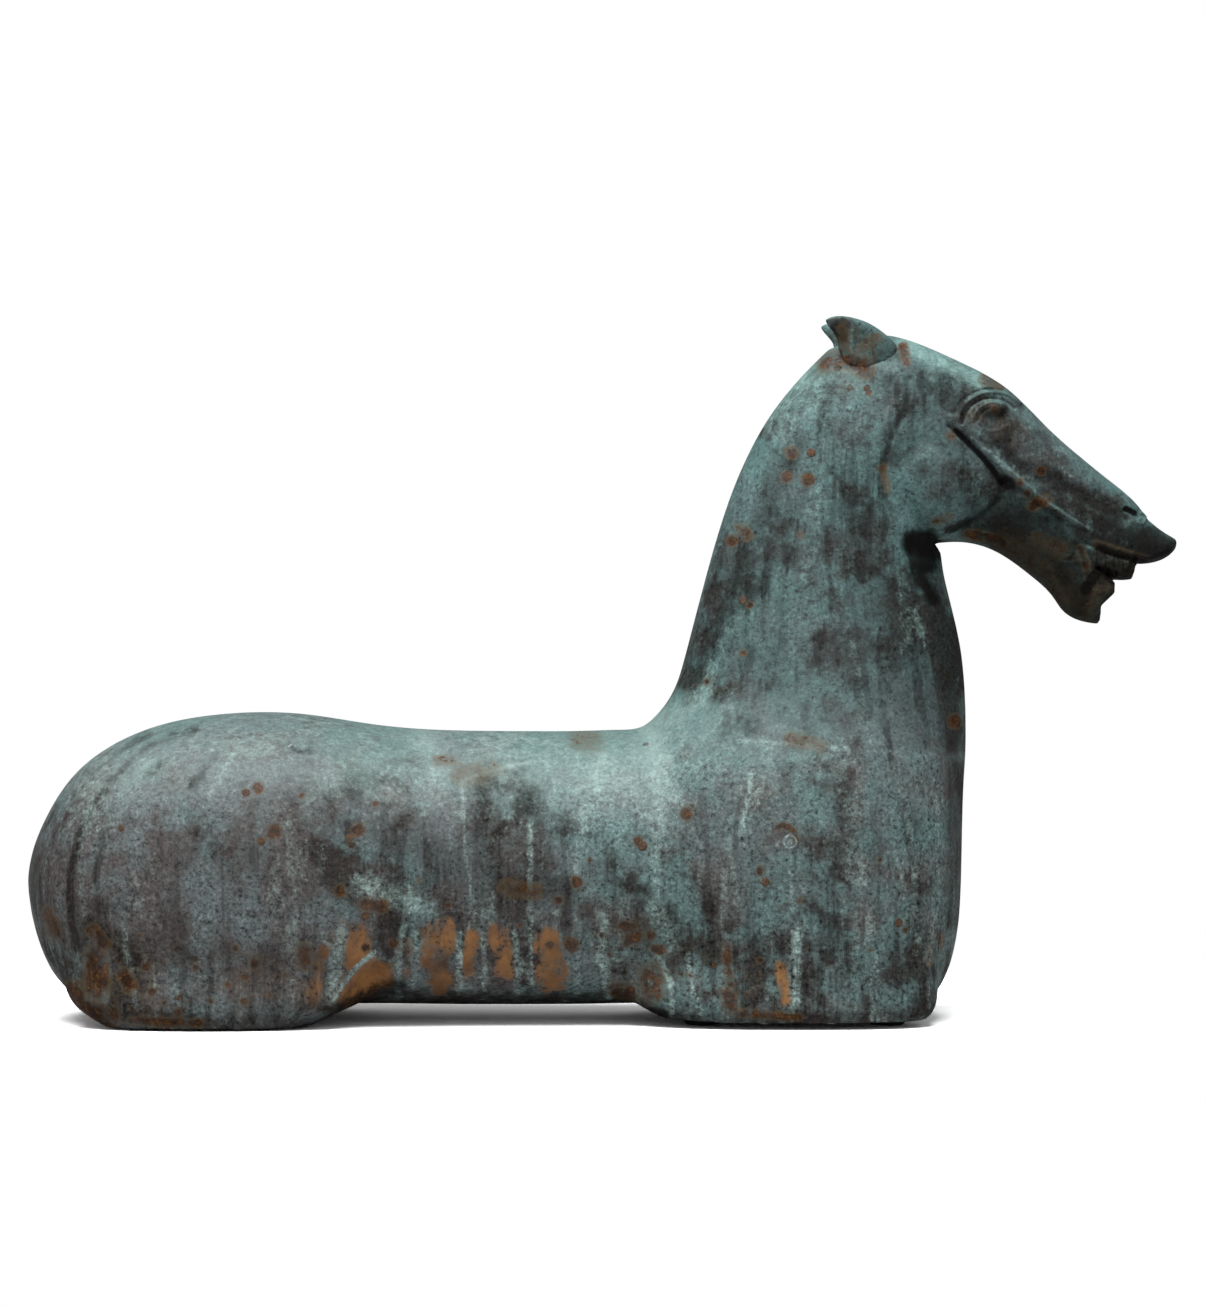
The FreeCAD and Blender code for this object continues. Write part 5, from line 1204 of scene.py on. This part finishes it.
@dataclass(frozen=True)
class PinHeads:
    """Round heads of chaplets or plugs, standing a little proud of the skin, in millimetres."""

    node: str
    name: str
    finish: CrustFinish
    slot: str
    radius: float
    proud: float
    dimple: float
    depth: float = 6.0
    sides: int = 28
    edge_share: float = 0.25
    rim_share: float = 0.28
    slope_share: float = 0.15
    rise_share: float = 0.5
    edge_steps: int = 3
    level: float = 0.9
    sideways: float = 0.35
    crease: float = 40.0

    def pattern(self) -> Object:
        """Models one head about its own axis: a turned rim, a soft edge and a dimple."""
        radius, dimple = self.radius * MM, self.dimple * MM
        bpy.ops.object.select_all(action="DESELECT")
        bpy.ops.mesh.primitive_cylinder_add(
            vertices=self.sides, radius=radius, depth=self.depth * MM,
            location=(0, 0, (self.proud - self.depth / 2) * MM),
        )
        head = bpy.context.object
        bpy.ops.object.transform_apply(location=True, rotation=False, scale=False)
        self.select_top(head)
        with editing():
            bpy.ops.mesh.select_mode(type="FACE")
            bpy.ops.mesh.bevel(
                offset=self.edge_share * radius, segments=self.edge_steps, affect="EDGES"
            )
        self.select_top(head)
        with editing():
            bpy.ops.mesh.inset(thickness=self.rim_share * radius, depth=-dimple)
            bpy.ops.mesh.inset(thickness=self.slope_share * radius, depth=self.rise_share * dimple)
        return head

    def select_top(self, head: Object) -> None:
        """Selects the level face at the head's top."""
        faces = head.data.polygons
        top = max(face.center.z for face in faces) - HAIR
        chosen = [face.normal.z > self.level and face.center.z > top for face in faces]
        select_parts(head, "polygons", chosen)

    def seats(self) -> list[tuple[Vector, Vector]]:
        """Centre and outward direction of each pin's outer face, read from the CAD node."""
        source = copy_node(self.node, f"{self.name}_source")
        mesh = bmesh.new()
        mesh.from_mesh(source.data)
        bpy.data.objects.remove(source)
        found, seen = [], set()
        for start in mesh.verts:
            if start not in seen:
                pin = self.island(start)
                seen |= pin
                found.append(self.outer_face(pin))
        mesh.free()
        return found

    def island(self, start: bmesh.types.BMVert) -> set[bmesh.types.BMVert]:
        """All points that hang together with this one.

        Args:
            start: a point of the pin.

        Returns:
            The pin's points.
        """
        island, queue = set(), [start]
        while queue:
            point = queue.pop()
            if point not in island:
                island.add(point)
                queue += [edge.other_vert(point) for edge in point.link_edges]
        return island

    def outer_face(self, pin: set[bmesh.types.BMVert]) -> tuple[Vector, Vector]:
        """Centre and outward direction of one pin's outer end.

        Args:
            pin: the pin's points.

        Returns:
            The centre and the direction.
        """
        side = math.copysign(1, sum(point.co.y for point in pin))
        faces = {face for point in pin for face in point.link_faces}
        outer = [(face, face.calc_area()) for face in faces if face.normal.y * side > self.sideways]
        centre = sum((face.calc_center_median() * area for face, area in outer), Vector())
        outward = sum((face.normal * area for face, area in outer), Vector())
        return centre / sum(area for _, area in outer), outward.normalized()

    def build(self) -> None:
        """Copies the pattern to every pin and joins the copies into one piece."""
        pattern = self.pattern()
        heads = []
        for centre, outward in self.seats():
            head = add_object(self.name, pattern.data.copy())
            turn = outward.to_track_quat("Z", "Y").to_matrix().to_4x4()
            head.data.transform(Matrix.Translation(centre) @ turn)
            heads.append(head)
        bpy.data.objects.remove(pattern)
        select_only(*heads)
        bpy.ops.object.join()
        finish_piece(heads[0], self.name, self.node, self.finish.material(), self.crease)


@dataclass(frozen=True)
class Hardware:
    """Bolts, plates, pads and screws that keep their CAD shape and only get a finish."""

    finish: CrustFinish
    nodes: tuple[str, ...]

    def dress(self) -> None:
        """Puts the finish on every node."""
        coat = self.finish.material()
        for node in self.nodes:
            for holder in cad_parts[node].material_slots:
                holder.material = coat
        LOG.info("%s on %d pieces", self.finish.name, len(self.nodes))


PIN_HEADS = (
    *(
        PinHeads(f"{part}_chaplets", f"{part}_chaplet_heads", RUSTED_IRON, "rusted_iron",
                 radius=4.4, proud=0.35, dimple=0.1)
        for part in ("haunch", "forebody", "neck")
    ),
    PinHeads("croup_plugs", "croup_plug_heads", PLUG_IRON, "plug_iron", radius=6.5, proud=0.6, dimple=0.9),
    PinHeads("shoulder_plugs", "shoulder_plug_heads", PLUG_IRON, "plug_iron", radius=8.0, proud=0.2,
             dimple=0.5),
)
JOINT_PARTS = tuple(
    f"{joint}_joint_{part}" for joint in ("barrel", "neck", "head") for part in ("bolts", "washers", "nuts")
)
HARDWARE = (
    Hardware(
        FASTENER_STEEL,
        JOINT_PARTS + ("barrel_joint_dowels", "ear_studs", "ear_nuts", "hind_cover_screws",
                       "fore_cover_screws", "pad_screws"),
    ),
    Hardware(COVER_STEEL, ("left_hind_cover", "right_hind_cover", "left_fore_cover", "right_fore_cover")),
    Hardware(PAD_RUBBER, ("hind_pads", "fore_pads")),
)


@dataclass(frozen=True)
class Statue:
    """The whole horse."""

    body_voxel: float = 2.7
    head_voxel: float = 1.45
    ear_voxel: float = 1.2
    barrel_way: Triple = (1, 0, 0)
    neck_way: Triple = (0.09, 0, 1)
    head_way: Triple = (0.884, 0, 0.468)

    def build(self) -> None:
        """Builds the castings, the ears, the pin heads and the finishes of the inner hardware."""
        patina = PatinaFinish().material()
        barrel = Seam.at_end_of("haunch_casting", self.barrel_way)
        neck = Seam.at_end_of("forebody_casting", self.neck_way)
        head = Seam.at_end_of("neck_casting", self.head_way)
        pins = ("haunch_chaplets", "forebody_chaplets", "neck_chaplets", "croup_plugs", "shoulder_plugs")
        castings = ("haunch_casting", "forebody_casting", "neck_casting", "head_casting")
        behind, ahead = False, True
        self.cut_up(
            CastSkin(castings + pins, self.body_voxel, blend_passes=6, roughness=0.35), patina,
            Casting("haunch_casting", "haunch", ((barrel, behind),)),
            Casting("forebody_casting", "forebody", ((barrel, ahead), (neck, behind))),
            Casting("neck_casting", "neck", ((barrel, ahead), (neck, ahead), (head, behind))),
        )
        self.cut_up(
            CastSkin(("neck_casting", "head_casting", "neck_chaplets"), self.head_voxel, blend_passes=4,
                     roughness=0.5, shrink=0.2),
            patina, Casting("head_casting", "head", ((head, ahead),)),
        )
        for side in ("left", "right"):
            ear = f"{side}_ear"
            skin = CastSkin((ear,), self.ear_voxel, blend_passes=0, roughness=0.4)
            self.cut_up(skin, patina, Casting(ear, f"ear_{side}"))
        for heads in PIN_HEADS:
            heads.build()
        for hardware in HARDWARE:
            hardware.dress()

    def cut_up(self, skin: CastSkin, patina: Material, *parts: Casting) -> None:
        """Builds a skin, cuts its castings out and removes what is left of it.

        Args:
            skin: what to build.
            patina: its material.
            parts: the castings in it.
        """
        joined = skin.build()
        for part in parts:
            part.build(joined, patina)
        bpy.data.objects.remove(joined)


@dataclass(frozen=True)
class Lamp:
    """A soft rectangular lamp that looks at the middle of the horse, its power in watts."""

    name: str
    place: Triple
    size: tuple[float, float]
    power: float
    target: Triple = (0, 0, 0.3)

    def build(self) -> None:
        """Hangs the lamp in the scene."""
        light = bpy.data.lights.new(self.name, "AREA")
        light.shape, light.energy = "RECTANGLE", self.power
        light.size, light.size_y = self.size
        holder = add_object(self.name, light)
        holder.location = self.place
        towards = Vector(self.target) - Vector(self.place)
        holder.rotation_euler = towards.to_track_quat("-Z", "Y").to_euler()


LAMPS = (
    Lamp("key", (-0.35, -1.1, 2.6), (2.6, 1.6), power=122.0),
    Lamp("fill", (0.2, -3.4, 1.2), (3.4, 2.0), power=11.0),
)


@dataclass(frozen=True)
class Studio:
    """A white floor and backdrop, soft lamps and the camera of the photograph."""

    floor_radius: float = 3.2
    floor_sides: int = 96
    floor_rim: float = 0.5
    floor_lit: float = 0.5
    floor_seen: float = 2.2
    shadow_stretch: Triple = (0.8, 1.3, 1)
    shadow_fade: tuple[float, float] = (0.62, 0.95)
    sky: float = 0.28
    eye: Triple = (0.0005, -3.84, 0.351)
    lens: float = 110.4
    sensor: float = 36.0

    def build(self) -> None:
        """Builds the floor, the world, the lamps and the camera."""
        self.floor()
        self.world()
        for lamp in LAMPS:
            lamp.build()
        self.camera()

    def floor(self) -> None:
        """A pale floor that the camera sees white, with the shadow under the horse."""
        bpy.ops.object.select_all(action="DESELECT")
        bpy.ops.mesh.primitive_circle_add(
            vertices=self.floor_sides, radius=self.floor_radius, fill_type="NGON"
        )
        plate = bpy.context.object
        plate.name = "studio_floor"
        with editing("SELECT"):
            bpy.ops.mesh.inset(thickness=self.floor_radius * self.floor_rim)
        s = Shader.of_material("white_floor")
        seen = s.node("ShaderNodeLightPath").outputs["Is Camera Ray"]
        where = s.place(self.shadow_stretch)
        far = s.node("ShaderNodeVectorMath", {0: where}, operation="LENGTH").outputs["Value"]
        paint = s.mix(seen, (*[self.floor_lit] * 3, 1), (*[self.floor_seen] * 3, 1))
        near = s.node("ShaderNodeBsdfDiffuse", {"Color": paint}).outputs[0]
        bright = s.node("ShaderNodeEmission", {"Color": (1, 1, 1, 1), "Strength": 1.0}).outputs[0]
        plain = s.times(seen, s.span(far, *self.shadow_fade))
        plate.data.materials.append(s.end("ShaderNodeMixShader", {0: plain, 1: near, 2: bright}))

    def world(self) -> None:
        """A grey sky for the lamps' sake, white where it is seen."""
        world = bpy.data.worlds.new("studio_sky")
        bpy.context.scene.world = world
        s = Shader(world, "ShaderNodeOutputWorld")
        rays = s.node("ShaderNodeLightPath").outputs
        seen = s.math("MAXIMUM", rays["Is Camera Ray"], rays["Is Transmission Ray"])
        strength = s.node("ShaderNodeMapRange", {"Value": seen, "To Min": self.sky, "To Max": 1.0})
        s.end("ShaderNodeBackground", {"Color": (1, 1, 1, 1), "Strength": strength.outputs["Result"]})

    def camera(self) -> None:
        """Stands the camera square to the side, at half height."""
        eye = bpy.data.cameras.new("camera")
        eye.lens, eye.sensor_width, eye.sensor_fit = self.lens, self.sensor, "AUTO"
        holder = add_object("camera", eye)
        holder.location = self.eye
        holder.rotation_euler = (math.radians(90), 0, 0)
        bpy.context.scene.camera = holder
        bpy.context.scene.view_settings.view_transform = "Standard"


def main() -> None:
    """Builds the statue and its stage, in order."""
    logging.basicConfig(level=logging.INFO, format="%(message)s")
    Statue().build()
    Studio().build()


if __name__ == "__main__":
    main()
